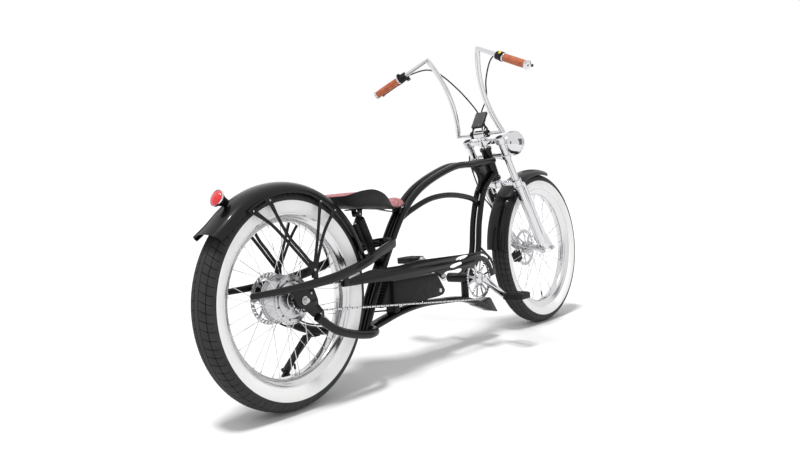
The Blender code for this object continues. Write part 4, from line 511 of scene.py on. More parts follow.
def plate(outline, low, high, finish, holes=(), edge=0.0006):
    # a flat piece in the bike's x-z plane, from y = low to y = high, with softened edges
    obj = curveObject([outline, *holes], flat=True)
    obj.data.fill_mode = "BOTH"
    obj.data.extrude = (high - low) / 2 - edge
    obj.data.bevel_depth = edge
    obj.data.bevel_resolution = 1
    obj.data.offset = -edge
    made = meshed(obj)
    middle = (low + high) / 2
    moveMesh(made, Matrix(((1, 0, 0, 0), (0, 0, -1, middle), (0, 1, 0, 0), (0, 0, 0, 1))))
    return paint(made, finish)


def arc(centre, radius, start, end, count):
    angles = [math.radians(start + (end - start) * i / count) for i in range(count + 1)]
    return [(centre[0] + radius * math.cos(a), centre[1] + radius * math.sin(a)) for a in angles]


def onCircle(centre, radius, degrees):
    return arc(centre, radius, degrees, degrees, 1)[0]


def circle(centre, radius, count=32):
    return arc(centre, radius, 0, 360 - 360 / count, count - 1)


def rounded(corners, radius, count=5):
    # a closed outline with its corners rounded off
    made = []
    size = len(corners)
    for i, corner in enumerate(corners):
        here = Vector(corner)
        before = Vector(corners[i - 1])
        after = Vector(corners[(i + 1) % size])
        cut = min(radius, (before - here).length * 0.45, (after - here).length * 0.45)
        first = here + (before - here).normalized() * cut
        last = here + (after - here).normalized() * cut
        for step in range(count + 1):
            t = step / count
            made.append(first * (1 - t) ** 2 + here * 2 * t * (1 - t) + last * t**2)
    return [(p.x, p.y) for p in made]


def smoothLoop(points, count):
    return [(p.x, p.y) for p in smoothPath([(x, z, 0) for x, z in points], count, cyclic=True)]


def box(low, high, finish, edge=0.001, segments=3):
    # a block with rounded edges
    low = Vector(low)
    high = Vector(high)
    clearSelection()
    bpy.ops.mesh.primitive_cube_add(size=1, location=(0, 0, 0))
    obj = bpy.context.object
    size = high - low
    moveMesh(obj, Matrix.Translation((low + high) / 2) @ Matrix.Diagonal((*size, 1)))
    editAll(obj)
    bpy.ops.mesh.bevel(offset=edge, segments=segments, affect="EDGES")
    bpy.ops.object.mode_set(mode="OBJECT")
    return paint(obj, finish)


def joined(parts):
    clearSelection()
    for part in parts:
        part.select_set(True)
    bpy.context.view_layer.objects.active = parts[0]
    bpy.ops.object.join()
    return bpy.context.object


def copies(obj, matrices):
    # copies of one shape, each with its own mesh; the first one is used up
    made = []
    for matrix in matrices:
        twin = obj.copy()
        twin.data = obj.data.copy()
        bpy.context.collection.objects.link(twin)
        made.append(moveMesh(twin, matrix))
    bpy.data.objects.remove(obj)
    return made


def easeIn(value, low, high):
    share = min(1.0, max(0.0, (value - low) / (high - low)))
    return share * share * (3 - 2 * share)


def mirrored(points):
    return [Vector((p[0], -p[1], p[2])) for p in points]


def aboutAxle(centreX, degrees, centreZ=0.0):
    # turns a shape round the bike's y axis, from x towards z
    turn = Matrix.Rotation(-math.radians(degrees), 4, "Y")
    middle = Matrix.Translation((centreX, 0, centreZ))
    return middle @ turn @ middle.inverted()


def settle(name, parts, body, stands=(), angle=32, placed=False):
    # joins a piece, sets it in the world, and hangs it on its body
    obj = joined(parts) if len(parts) > 1 else parts[0]
    obj.name = name
    obj.data.name = name
    if not placed:
        moveMesh(obj, bikePlace)
    obj.matrix_world = Matrix.Identity(4)
    clearSelection()
    obj.select_set(True)
    bpy.context.view_layer.objects.active = obj
    bpy.ops.object.shade_smooth_by_angle(angle=math.radians(angle))
    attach(obj, body)
    if stands:
        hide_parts(*stands)
    return obj


def cadCopy(node, finish, edge):
    # a merged, edge-softened copy of a CAD node, already in its place in the world
    source = frame["nodes"][node]
    obj = bpy.data.objects.new(node + "Copy", source.data.copy())
    bpy.context.collection.objects.link(obj)
    obj.data.transform(source.matrix_world)
    closeShape(obj)
    editAll(obj)
    bpy.ops.mesh.dissolve_limited(angle_limit=math.radians(5))
    bpy.ops.object.mode_set(mode="OBJECT")
    soften = obj.modifiers.new("soften", "BEVEL")
    soften.width = edge
    soften.segments = 2
    soften.limit_method = "ANGLE"
    soften.angle_limit = math.radians(35)
    bpy.ops.object.modifier_apply(modifier="soften")
    return paint(obj, finish)


# Wheels

wheel = {
    "steps": 120,
    "lipRadius": 0.2855,
    "squareness": 0.8,  # of the tyre's section; 1 is round
    "lowAngle": math.radians(-52),
    "spokeRadius": 0.0012,
    "spokes": 36,
    "valve": (0.256, math.radians(-85)),
    "treadBlocks": 80,
    "blockColumns": (0.0, 0.022, 0.088, 0.11, 0.29, 0.47, 0.65, 0.83),
    "grooveDepth": 0.0016,
    "grooveHalf": 0.0011,
    "grooveSlant": 0.40,
    "rear": {"centre": 0.0, "radius": 0.366, "halfWidth": 0.052, "wall": 0.331, "rimHalf": 0.036},
    "front": {"centre": wheelbase, "radius": 0.359, "halfWidth": 0.040, "wall": 0.3235, "rimHalf": 0.028},
}


def ringGrooves(halfWidth):
    return (halfWidth * 0.20, halfWidth * 0.70)


def tyreOutline(radius, halfWidth, wall):
    lowAngle = wheel["lowAngle"]
    power = wheel["squareness"]
    halfHeight = (radius - wheel["lipRadius"] - 0.0003) / (1 + math.sin(-lowAngle) ** power)
    count = 40
    angles = [lowAngle + (math.pi - 2 * lowAngle) * i / count for i in range(count + 1)]
    for middle in ringGrooves(halfWidth):
        for step in (-1.9, -0.9, 0.9, 1.9):
            angle = math.acos(((middle + step * wheel["grooveHalf"]) / halfWidth) ** (1 / power))
            angles += [angle, math.pi - angle]
    outline = []
    for angle in sorted(angles):
        c = math.cos(angle)
        s = math.sin(angle)
        y = halfWidth * math.copysign(abs(c) ** power, c)
        r = radius - halfHeight + halfHeight * math.copysign(abs(s) ** power, s)
        bead = math.exp(-(((r - wall + 0.002) / 0.0016) ** 2)) * 0.0005
        outline.append((r, y + math.copysign(bead, y)))
    return outline


def cutTread(tyre, sizes):
    # slants the spun columns into V-shaped cross grooves, and sinks them and the two ring grooves
    columns = wheel["blockColumns"]
    steps = wheel["treadBlocks"] * len(columns)
    halfWidth = sizes["halfWidth"]
    sunk = set()
    for vert in tyre.data.vertices:
        x, y, z = vert.co
        radius = math.hypot(x, z)
        index = round((math.atan2(z, x) / (2 * math.pi)) % 1 * steps) % steps
        block, column = divmod(index, len(columns))
        across = min(abs(y), halfWidth * 0.90)
        slant = across * wheel["grooveSlant"] / radius
        turn = 2 * math.pi * (block + columns[column]) / wheel["treadBlocks"] + slant
        onTread = radius > sizes["wall"] + 0.004
        inRing = any(abs(abs(y) - middle) < wheel["grooveHalf"] for middle in ringGrooves(halfWidth))
        inCross = column in (1, 2) and abs(y) > ringGrooves(halfWidth)[0]
        if onTread and (inRing or inCross):
            radius -= wheel["grooveDepth"]
            sunk.add(vert.index)
        vert.co = (radius * math.cos(turn), y, radius * math.sin(turn))
    return sunk


def makeTyre(side):
    sizes = wheel[side]
    steps = wheel["treadBlocks"] * len(wheel["blockColumns"])
    section = tyreOutline(sizes["radius"], sizes["halfWidth"], sizes["wall"])
    tyre = lathe(section, (0, 0, 0), (0, 1, 0), steps, "tread")
    sunk = cutTread(tyre, sizes)
    tyre.data.materials.append(finishes["wall"])
    tyre.data.materials.append(finishes["grooveShade"])
    for face in tyre.data.polygons:
        spot = face.center
        if math.hypot(spot.x, spot.z) < sizes["wall"] and abs(spot.y) > 0.01:
            face.material_index = 1
        # faces sunk into the grooves take the near-black finish: painted shade in the recesses
        elif sum(index in sunk for index in face.vertices) > 2:
            face.material_index = 2
    moveMesh(tyre, Matrix.Translation((sizes["centre"], 0, 0)))
    settle(side + "TyreFine", [tyre], side + "_wheel", [side + "_tyre"], 40)


def rimOutline(half):
    lip = wheel["lipRadius"]
    side = [
        (lip + 0.0004, half - 0.0024),
        (lip + 0.0016, half - 0.0012),
        (lip + 0.0006, half + 0.0004),
        (lip - 0.0022, half + 0.0006),
        (lip - 0.0050, half - 0.0012),
        (lip - 0.0075, half - 0.0040),
        (lip - 0.0130, half * 0.82),
        (lip - 0.0200, half * 0.70),
        (lip - 0.0255, half * 0.55),
        (lip - 0.0278, half * 0.34),
        (lip - 0.0283, half * 0.12),
    ]
    return side + [(r, -y) for r, y in reversed(side)]


def spokeEnds(index, flangeRadius, flangeY, crosses, rimRadius):
    side = 1 if index % 2 == 0 else -1
    leading = 1 if (index // 2) % 2 == 0 else -1
    rimAngle = 2 * math.pi / wheel["spokes"] * index
    hubAngle = rimAngle + leading * crosses * 4 * math.pi / wheel["spokes"]
    hubY = side * (flangeY + leading * 0.0030)
    hub = Vector((flangeRadius * math.cos(hubAngle), hubY, flangeRadius * math.sin(hubAngle)))
    return hub, Vector((rimRadius * math.cos(rimAngle), side * 0.006, rimRadius * math.sin(rimAngle)))


def makeRim(side, flangeRadius, flangeY, crosses):
    sizes = wheel[side]
    middle = Vector((sizes["centre"], 0, 0))
    parts = [lathe(rimOutline(sizes["rimHalf"]), middle, (0, 1, 0), wheel["steps"], "rim")]
    for index in range(wheel["spokes"]):
        hub, rim = spokeEnds(index, flangeRadius, flangeY, crosses, wheel["lipRadius"] - 0.027)
        along = (rim - hub).normalized()
        start = middle + hub - along * 0.002
        end = middle + rim
        parts.append(rod(start, end, wheel["spokeRadius"], "chrome", edge=0.0002, steps=8))
        nipple = (end - along * 0.012, end + along * 0.002)
        parts.append(rod(*nipple, 0.0019, "chrome", endRadius=0.0027, steps=8))
    reach, turn = wheel["valve"]
    low = middle + Vector((reach * math.cos(turn), 0, reach * math.sin(turn)))
    inward = (middle - low).normalized()
    for start, end, radius, finish, steps in (
        (0, 0.030, 0.0030, "chrome", 12), (0.018, 0.036, 0.0039, "satin", 12), (-0.001, 0.003, 0.0060, "steel", 6),
    ):
        parts.append(rod(low + inward * start, low + inward * end, radius, finish, steps=steps))
    settle(side + "RimFine", parts, side + "_wheel", [side + "_rim_and_spokes"], 40)


rotor = {
    "radius": 0.090,
    "half": 0.0010,
    "bore": 0.0165,
    "arms": 8,
    "slots": 32,
    "wave": 0.0012,
    "boltCircle": 0.0225,
    "bolts": 6,
    "boltHead": socketHead(0.0042, 0.0016, 0.0032, 0.0026, 0.0018, 0.0014, 0.0012),
}


def rotorParts(centreX, y):
    # a slotted brake disc with a wavy edge, on slim swept arms
    middle = (centreX, 0)
    radius = rotor["radius"]
    half = rotor["half"]
    holes = [circle(middle, rotor["bore"])]
    for i in range(rotor["arms"]):
        start = 360 / rotor["arms"] * i
        window = arc(middle, radius - 0.0165, start + 4, start + 41, 8)
        window += arc(middle, 0.031, start + 16, start - 10, 5)
        holes.append(rounded(window, 0.0015, 2))
    for i in range(rotor["slots"]):
        start = 360 / rotor["slots"] * i
        slot = arc(middle, radius - 0.0036, start, start + 3.2, 1)
        slot += arc(middle, radius - 0.0136, start + 9.0, start + 5.4, 1)
        holes.append(rounded(slot, 0.0016, 2))
    outline = []
    for i in range(120):
        wave = rotor["wave"] * math.cos(rotor["slots"] * math.radians(3 * i))
        outline.append(onCircle(middle, radius - rotor["wave"] + wave, 3 * i))
    parts = [plate(outline, y - half, y + half, "steel", holes, edge=0.0002)]
    bolt = lathe(rotor["boltHead"], (centreX + rotor["boltCircle"], y + half, 0), (0, 1, 0), 12, "dark")
    return parts + copies(bolt, [aboutAxle(centreX, 60 * i + 12) for i in range(rotor["bolts"])])


hubs = {
    # half the section of each shell, as (radius, y)
    "motor": [
        (0.0078, -0.0460), (0.0285, -0.0460), (0.0300, -0.0452), (0.0315, -0.0438), (0.0480, -0.0408),
        (0.0590, -0.0378), (0.0606, -0.0366), (0.0610, -0.0345), (0.0700, -0.0345), (0.0716, -0.0338),
        (0.0815, -0.0338), (0.0825, -0.0330), (0.0825, -0.0310), (0.0815, -0.0302), (0.0755, -0.0302),
        (0.0737, -0.0290), (0.0735, -0.0200), (0.0728, 0.0), (0.0735, 0.0200), (0.0737, 0.0290),
        (0.0755, 0.0302), (0.0815, 0.0302), (0.0825, 0.0310), (0.0825, 0.0330), (0.0815, 0.0338),
        (0.0710, 0.0338), (0.0690, 0.0350), (0.0600, 0.0380), (0.0420, 0.0420), (0.0290, 0.0440),
        (0.0270, 0.0460), (0.0270, 0.0725), (0.0078, 0.0725),
    ],
    "front": [
        (0.0058, -0.050), (0.0130, -0.050), (0.0140, -0.0490), (0.0150, -0.0420), (0.0165, -0.0370),
        (0.0290, -0.0358), (0.0300, -0.0350), (0.0300, -0.0330), (0.0290, -0.0322), (0.0175, -0.0310),
        (0.0155, -0.0260), (0.0135, -0.0100), (0.0135, 0.0100), (0.0155, 0.0260), (0.0175, 0.0310),
        (0.0290, 0.0322), (0.0300, 0.0330), (0.0300, 0.0350), (0.0290, 0.0358), (0.0190, 0.0366),
        (0.0190, 0.0400), (0.0245, 0.0418), (0.0250, 0.0425), (0.0250, 0.0577), (0.0058, 0.0577),
    ],
    "screw": socketHead(0.0036, 0.0012, 0.0028, 0.0022, 0.0015, 0.0012, 0.0010),
    # a thin dark disc that sits on the flange in place of each spoke hole: painted shade, as no hole is cut
    "spokeHoleShade": [(0, 0), (0.0014, 0), (0.0014, 0.0003), (0, 0.0003)],
    "rearRotorY": 0.0738,
    "frontRotorY": 0.059,
}


def makeRearHub():
    parts = [lathe(hubs["motor"], (0, 0, 0), (0, 1, 0), 72, "alloy")]
    screw = lathe(hubs["screw"], (0.0660, -0.0340, 0), (0, -1, 0), 10, "dark")
    parts += copies(screw, [aboutAxle(0, 30 * i + 15) for i in range(12)])
    # thirty-six dark discs on the flange face stand for the spoke holes as painted shade
    hole = lathe(hubs["spokeHoleShade"], (0.0780, -0.0337, 0), (0, -1, 0), 8, "dark")
    parts += copies(hole, [aboutAxle(0, 10 * i + 5) for i in range(36)])
    rib = box((0.034, -0.0425, -0.0012), (0.058, -0.0372, 0.0012), "alloy", 0.0006, 2)
    tilt = Matrix.Rotation(math.radians(16), 4, "Z")
    moveMesh(rib, Matrix.Translation((0.046, -0.040, 0)) @ tilt @ Matrix.Translation((-0.046, 0.0404, 0)))
    parts += copies(rib, [aboutAxle(0, 45 * i) for i in range(8)])
    settle("motorHubFine", parts, "rear_wheel", ["rear_motor_hub"])
    settle("rearRotorFine", rotorParts(0, hubs["rearRotorY"]), "rear_wheel", ["rear_rotor"])


def makeFrontHub():
    shell = lathe(hubs["front"], (wheelbase, 0, 0), (0, 1, 0), 48, "alloy")
    settle("frontHubFine", [shell], "front_wheel", ["front_hub"])
    disc = rotorParts(wheelbase, hubs["frontRotorY"])
    settle("frontRotorFine", disc, "front_wheel", ["front_rotor"])


def axleParts(centreX, radius, halfLength, nutRadius, nutFrom):
    parts = [rod((centreX, -halfLength, 0), (centreX, halfLength, 0), radius, "steel", edge=0.001)]
    dome = [(0, 0), (radius + 0.0025, 0), (radius + 0.0018, 0.0028), (radius * 0.6, 0.0042), (0, 0.0046)]
    for sign in (-1, 1):
        washer = (centreX, sign * (nutFrom + 0.0010), 0)
        parts.append(ring(washer, (0, 1, 0), radius - 0.001, nutRadius * 1.28, 0.0010, "steel", 0.0004, 32))
        start = (centreX, sign * (nutFrom + 0.0015), 0)
        end = (centreX, sign * (nutFrom + 0.0092), 0)
        parts.append(rod(start, end, nutRadius, "chrome", edge=0.0010, steps=6))
        parts.append(lathe(dome, end, (0, sign, 0), 24, "chrome"))
    return parts


for wheelSide, flange, flangeY, crosses in (("rear", 0.078, 0.032, 1), ("front", 0.0255, 0.034, 3)):
    makeTyre(wheelSide)
    makeRim(wheelSide, flange, flangeY, crosses)
makeRearHub()
makeFrontHub()
settle("rearAxleFine", axleParts(0, 0.007, 0.112, 0.011, 0.0953), "frame", ["rear_axle"])
frontAxle = axleParts(wheelbase, 0.005, 0.094, 0.0085, 0.0853)
settle("frontAxleFine", frontAxle, "steering", ["front_axle"])
print("wheels are laced")


# Drive

drive = {
    "crank": (1.05, -0.065),
    "lineY": -0.075,
    "pitch": 0.0127,
    "ringTeeth": 44,
    "sprocketTeeth": 18,
    "linkHeight": 0.0041,
    "linkWaist": 0.42,
    "crankLength": 0.1705,
    "crankAngle": -33.0,
    "crankY": 0.102,
    "pedalLength": 0.100,
    "pedalWidth": 0.092,
    "pedalHeight": 0.024,
    "pedalInset": 0.016,
    "freewheelBody": [
        (0.0085, -0.0465), (0.0225, -0.0465), (0.0235, -0.0475), (0.0235, -0.0790), (0.0225, -0.0800),
        (0.0200, -0.0802), (0.0196, -0.0790), (0.0180, -0.0790), (0.0178, -0.0835), (0.0170, -0.0840),
        (0.0085, -0.0840),
    ],
}
crankX, crankZ = drive["crank"]


def chainPins():
    # evenly spaced pins along the closed run over the chainring and the sprocket
    big = drive["pitch"] / 2 / math.sin(math.pi / drive["ringTeeth"])
    small = drive["pitch"] / 2 / math.sin(math.pi / drive["sprocketTeeth"])
    slope = math.degrees(math.atan2(crankZ, crankX))
    over = 90 + math.degrees(math.asin((big - small) / math.hypot(crankX, crankZ)))
    loop = arc(drive["crank"], big, slope + over, slope - over, 90)
    loop += arc((0, 0), small, slope - over, slope - 360 + over, 40)
    loop.append(loop[0])
    lengths = [0.0]
    for (x1, z1), (x2, z2) in zip(loop, loop[1:]):
        lengths.append(lengths[-1] + math.hypot(x2 - x1, z2 - z1))
    count = 2 * round(lengths[-1] / drive["pitch"] / 2)
    line = [Vector((x, 0, z)) for x, z in loop]
    pins = []
    at = 0
    for i in range(count):
        goal = lengths[-1] * i / count
        while lengths[at + 1] < goal:
            at += 1
        share = (goal - lengths[at]) / (lengths[at + 1] - lengths[at])
        pins.append(line[at].lerp(line[at + 1], share))
    return pins


def makeChain():
    pins = chainPins()
    step = (pins[1] - pins[0]).length
    high = drive["linkHeight"]
    outline = arc((0, 0), high, 120, 240, 4) + [(step / 2, -high * drive["linkWaist"])]
    outline += arc((step, 0), high, -60, 60, 4) + [(step / 2, high * drive["linkWaist"])]
    shapes = []
    for y, face, half, radius, finish, steps in (
        (0.0031, "chrome", 0.0037, 0.0018, "steel", 6), (0.0021, "dark", 0.0016, 0.0034, "dark", 8),
    ):
        link = [plate(outline, sign * y - 0.0005, sign * y + 0.0005, face, edge=0.0001) for sign in (-1, 1)]
        for x in (0, step):
            link.append(rod((x, -half, 0), (x, half, 0), radius, finish, edge=0.0002, steps=steps))
        shapes.append(joined(link))
    places = ([], [])
    for i, pin in enumerate(pins):
        along = pins[(i + 1) % len(pins)] - pin
        turn = Matrix.Rotation(-math.atan2(along.z, along.x), 4, "Y")
        places[i % 2].append(Matrix.Translation((pin.x, drive["lineY"], pin.z)) @ turn)
    links = copies(shapes[0], places[0]) + copies(shapes[1], places[1])
    settle("chainFine", links, "frame", ["drive_chain"], 40)


def toothedOutline(centre, teeth):
    pitchRadius = drive["pitch"] / 2 / math.sin(math.pi / teeth)
    tip = (pitchRadius - drive["linkHeight"]) * math.cos(math.pi / teeth) + 0.0022
    root = tip - 0.0058
    flank = root + 0.0035
    points = []
    for i in range(teeth):
        for share, radius in ((-0.30, root), (-0.16, flank), (-0.07, tip), (0.07, tip), (0.16, flank), (0.30, root)):
            points.append(onCircle(centre, radius, 360 / teeth * (i + share)))
    return points


def makeChainring():
    middle = drive["crank"]
    y = drive["lineY"]
    windows = [circle(middle, 0.0125, 24)]
    for start in range(0, 360, 60):
        wide = arc(middle, 0.0765, start + 15, start + 45, 8) + arc(middle, 0.031, start + 41, start + 19, 3)
        slim = arc(middle, 0.0765, start - 9, start + 9, 4) + arc(middle, 0.040, start + 3, start - 3, 1)
        windows += [rounded(wide, 0.002, 3), rounded(slim, 0.0015, 3)]
    outline = toothedOutline(middle, drive["ringTeeth"])
    parts = [plate(outline, y - 0.0015, y + 0.0015, "chrome", windows, 0.0003)]
    for start in range(0, 360, 60):
        x, z = onCircle(middle, 0.0225, start + 12)
        parts.append(rod((x, y - 0.0014, z), (x, y - 0.0036, z), 0.0040, "steel", edge=0.0006, steps=12))
    settle("chainringFine", parts, "crank", ["chainring"])


def makeFreewheel():
    outline = toothedOutline((0, 0), drive["sprocketTeeth"])
    disc = plate(outline, -0.0762, -0.0738, "dark", [circle((0, 0), 0.0215, 24)], 0.0003)
    body = lathe(drive["freewheelBody"], (0, 0, 0), (0, 1, 0), 48, "satin")
    settle("freewheelFine", [body, disc], "freewheel", ["freewheel_sprocket"])


def pedalSpot(side):
    angle = math.radians(drive["crankAngle"] + (0 if side == "right" else 180))
    return crankX + drive["crankLength"] * math.cos(angle), crankZ + drive["crankLength"] * math.sin(angle)


def makeCrank(side, sign):
    endX, endZ = pedalSpot(side)
    angle = math.degrees(math.atan2(endZ - crankZ, endX - crankX))
    y = drive["crankY"]
    outline = arc(drive["crank"], 0.0172, angle + 70, angle + 290, 22)
    outline += arc((endX, endZ), 0.0128, angle - 90, angle + 90, 14)
    arm = plate(outline, *onFlank(sign, y - 0.006, y + 0.006), "chrome", edge=0.0030)
    reach = y + 0.012 + drive["pedalWidth"]
    parts = [arm, rod((endX, sign * y, endZ), (endX, sign * reach, endZ), 0.0050, "chrome")]
    flats = ((endX, sign * (y + 0.005), endZ), (endX, sign * (y + 0.0145), endZ))
    parts.append(rod(*flats, 0.0078, "steel", edge=0.0006, steps=6))
    cap = [(0, 0), (0.0112, 0), (0.0112, 0.0010), (0.0100, 0.0022), (0.0060, 0.0026), (0.0050, 0.0014), (0, 0.0014)]
    parts.append(lathe(cap, (crankX, sign * (y + 0.0055), crankZ), (0, sign, 0), 32, "chrome"))
    if side == "right":
        lineY = drive["lineY"]
        spider = [(0, -y + 0.004), (0.0165, -y + 0.004), (0.0200, -y + 0.008), (0.0255, lineY - 0.0062)]
        spider += [(0.0262, lineY - 0.0048), (0.0262, lineY - 0.0020), (0.0086, lineY - 0.0019)]
        spider += [(0.0085, 0.106), (0.0075, 0.1075), (0, 0.1075)]
        parts.append(lathe(spider, (crankX, 0, crankZ), (0, 1, 0), 48, "chrome"))
    settle("crankArm" + side.title(), parts, "crank", ["crank_arm_" + side])


def makePedal(side, sign):
    x, z = pedalSpot(side)
    start = drive["crankY"] + 0.016
    width = drive["pedalWidth"]
    halfX = drive["pedalLength"] / 2
    halfZ = drive["pedalHeight"] / 2
    inset = drive["pedalInset"]
    corners = [(-halfX + inset, 0), (halfX - inset, 0), (halfX, inset), (halfX, width - inset)]
    corners += [(halfX - inset, width), (-halfX + inset, width), (-halfX, width - inset), (-halfX, inset)]
    windows = []
    near, far = 0.0125, halfX - 0.0075
    for xSign in (-1, 1):
        for low, high, farLow, farHigh in (
            (0.010, width / 2 - 0.003, 0.018, width / 2 - 0.003),
            (width / 2 + 0.003, width - 0.010, width / 2 + 0.003, width - 0.018),
        ):
            window = [(xSign * near, low), (xSign * far, farLow), (xSign * far, farHigh), (xSign * near, high)]
            windows.append(rounded(window, 0.005, 4))
    cage = plate(rounded(corners, 0.004), -halfZ, halfZ, "satin", windows, 0.0018)
    stand = Matrix(((1, 0, 0, 0), (0, 0, sign, sign * start), (0, -1, 0, 0), (0, 0, 0, 1)))
    parts = [cage, rod((0, 0, 0.0005), (0, 0, width - 0.0005), 0.0108, "satin", edge=0.001)]
    for xSign in (-1, 1):
        edge = xSign * (halfX - 0.004)
        for count in range(5):
            spot = 0.018 + count * (width - 0.036) / 4
            for up in (-1, 1):
                foot = (edge, up * (halfZ - 0.001), spot)
                tip = (edge, up * (halfZ + 0.0018), spot)
                parts.append(rod(foot, tip, 0.0016, "dark", endRadius=0.0009, edge=0.0003, steps=8))
    pedal = joined(parts)
    moveMesh(pedal, Matrix.Translation((x, 0, z)) @ stand)
    closeShape(pedal, 0.000001)
    settle("pedal" + side.title(), [pedal], "pedal_" + side, ["pedal_" + side])


makeChain()
makeChainring()
makeFreewheel()
for sideName, sideSign in (("right", -1), ("left", 1)):
    makeCrank(sideName, sideSign)
    makePedal(sideName, sideSign)
print("drive is assembled")


# Frame: twin arches over a single inner arch, twin down tubes, a wide lower tube and looped stays

tubes = {
    "arch": [
        (0.372, -0.178), (0.432, -0.068), (0.531, 0.090), (0.647, 0.242), (0.787, 0.340), (1.010, 0.411),
        (1.165, 0.420), (1.318, 0.433),
    ],
    "innerArch": [(0.640, 0.214), (0.715, 0.246), (0.855, 0.286), (1.001, 0.294), (1.151, 0.273), (1.218, 0.240)],
    "down": [(1.340, 0.372), (1.245, 0.303), (1.187, 0.173), (1.158, 0.043), (1.120, -0.018), (1.062, -0.055)],
    "lower": [
        (0.378, -0.178), (0.476, -0.158), (0.601, -0.137), (0.731, -0.130), (0.868, -0.138), (1.013, -0.152),
        (1.120, -0.182), (1.215, -0.222),
    ],
    "upperStay": [
        (-0.222, 0.095, 0.045), (-0.050, 0.095, 0.045), (0.124, 0.095, 0.053), (0.227, 0.094, 0.067),
        (0.336, 0.087, 0.089), (0.423, 0.073, 0.112),
    ],
    "lowerStay": [
        (0.050, 0.095, -0.062), (0.106, 0.095, -0.102), (0.152, 0.095, -0.127), (0.201, 0.095, -0.144),
        (0.252, 0.095, -0.157),
    ],
    "fin": [(1.090, -0.178), (1.160, -0.182), (1.222, -0.172), (1.276, -0.248), (1.190, -0.224), (1.110, -0.195)],
    "dropout": [
        (-0.053, 0.036), (0.045, 0.036), (0.062, -0.007), (0.061, -0.021), (0.086, -0.047), (0.084, -0.070),
        (0.034, -0.060), (-0.002, -0.029), (-0.031, -0.011),
    ],
    "headAngle": math.radians(66),
    "headPoint": (1.383, 0.322),
    "legAngle": math.radians(59),
    "legPoint": (1.417, 0.325),
    "legY": 0.082,
    "crankShell": (-0.0450, 0.0700),
    "batteryFeet": (0.560, 0.740),
}


pivots = {"seat": (0.637, 0.267), "damperLow": (0.470, 0.095), "damperHigh": (0.395, 0.256)}


kickstand = {"pivot": (0.228, 0.1275, -0.160), "widths": (0.018, 0.0115)}

headAxis = Vector((-math.cos(tubes["headAngle"]), 0, math.sin(tubes["headAngle"])))

legAxis = Vector((-math.cos(tubes["legAngle"]), 0, math.sin(tubes["legAngle"])))


def headPoint(z):
    x, base = tubes["headPoint"]
    return Vector((x - (z - base) / math.tan(tubes["headAngle"]), 0, z))


def legPoint(z, y=0.0, ahead=0.0):
    x, base = tubes["legPoint"]
    place = x - (z - base) / math.tan(tubes["legAngle"])
    return Vector((place + ahead * math.sin(tubes["legAngle"]), y, z + ahead * math.cos(tubes["legAngle"])))


def inPlane(line):
    return [Vector((x, 0, z)) for x, z in line]


def twinTubes(line, radius, lowY, highY, count=48):
    made = []
    for sign in (-1, 1):
        path = smoothPath(inPlane(line), count)
        first = path[0].x
        span = path[-1].x - first
        for point in path:
            point.y = sign * (lowY + (highY - lowY) * ((point.x - first) / span) ** 2)
        made.append(tube(path, radius, "gloss"))
    return made


def pivotEar(pivot, corners, sign):
    # a small lug with a hole, on one side of the pivot; its corners are counted from there
    x, z = pivot
    outline = rounded([(x + dx, z + dz) for dx, dz in corners], 0.005)
    return plate(outline, *onFlank(sign, 0.0155, 0.0205), "gloss", [circle(pivot, 0.0048, 16)], 0.0008)


def stayLoop(line, centreX, radius, startZ, endZ, count):
    bend = []
    for i in range(7):
        angle = math.pi / 2 - math.pi / 12 * i
        height = startZ + (endZ - startZ) * math.sin(math.pi / 12 * i)
        bend.append(Vector((centreX + radius * math.cos(angle), radius * math.sin(angle), height)))
    half = [Vector(p) for p in line] + bend
    return smoothPath(half + mirrored(reversed(half[:-1])), count)


def crankShellParts():
    start, end = tubes["crankShell"]
    shell = [(0.0095, start), (0.0195, start), (0.0210, start + 0.0015), (0.0210, end - 0.0015)]
    shell += [(0.0195, end), (0.0095, end)]
    parts = [lathe(shell, (crankX, 0, crankZ), (0, 1, 0), 40, "gloss")]
    cup = [(0.0095, 0), (0.0205, 0), (0.0205, 0.0022), (0.0185, 0.0040), (0.0095, 0.0040)]
    for y, sign in ((start, -1), (end, 1)):
        parts.append(lathe(cup, (crankX, y, crankZ), (0, sign, 0), 32, "satin"))
    parts.append(rod((crankX + 0.008, 0, crankZ), (crankX + 0.004, 0, -0.155), 0.016, "gloss"))
    return parts


def frameEndParts(sign):
    # what one side of the frame carries at the axle, and its lugs for seat and damper
    sheet = onFlank(sign, 0.089, 0.095)
    parts = [plate(rounded(tubes["dropout"], 0.007), *sheet, "gloss", [circle((0, 0), 0.0076)], 0.0012)]
    low, high = onFlank(sign, 0.0908, 0.0948)
    parts.append(box((0.050, low, 0.052), (0.072, high, 0.084), "gloss", 0.0012))
    for x, z in ((0.0665, -0.0545), (0.030, 0.020)):
        parts.append(capScrew((x, sign * 0.0948, z), (0, sign, 0), 0.0040))
    cap = [(0, 0), (0.0085, 0), (0.0078, 0.0022), (0, 0.0030)]
    parts.append(lathe(cap, (-0.222, sign * 0.095, 0.045), (-1, 0, 0), 24, "gloss"))
    corners = [(-0.010, 0.002), (0.004, 0.010), (0.030, -0.004), (-0.002, -0.040), (-0.010, -0.034)]
    parts.append(pivotEar(pivots["seat"], corners, sign))
    corners = [(-0.012, 0.011), (0.012, 0.011), (0.058, -0.012), (0.040, -0.040), (-0.012, -0.011)]
    parts.append(pivotEar(pivots["damperLow"], corners, sign))
    return parts


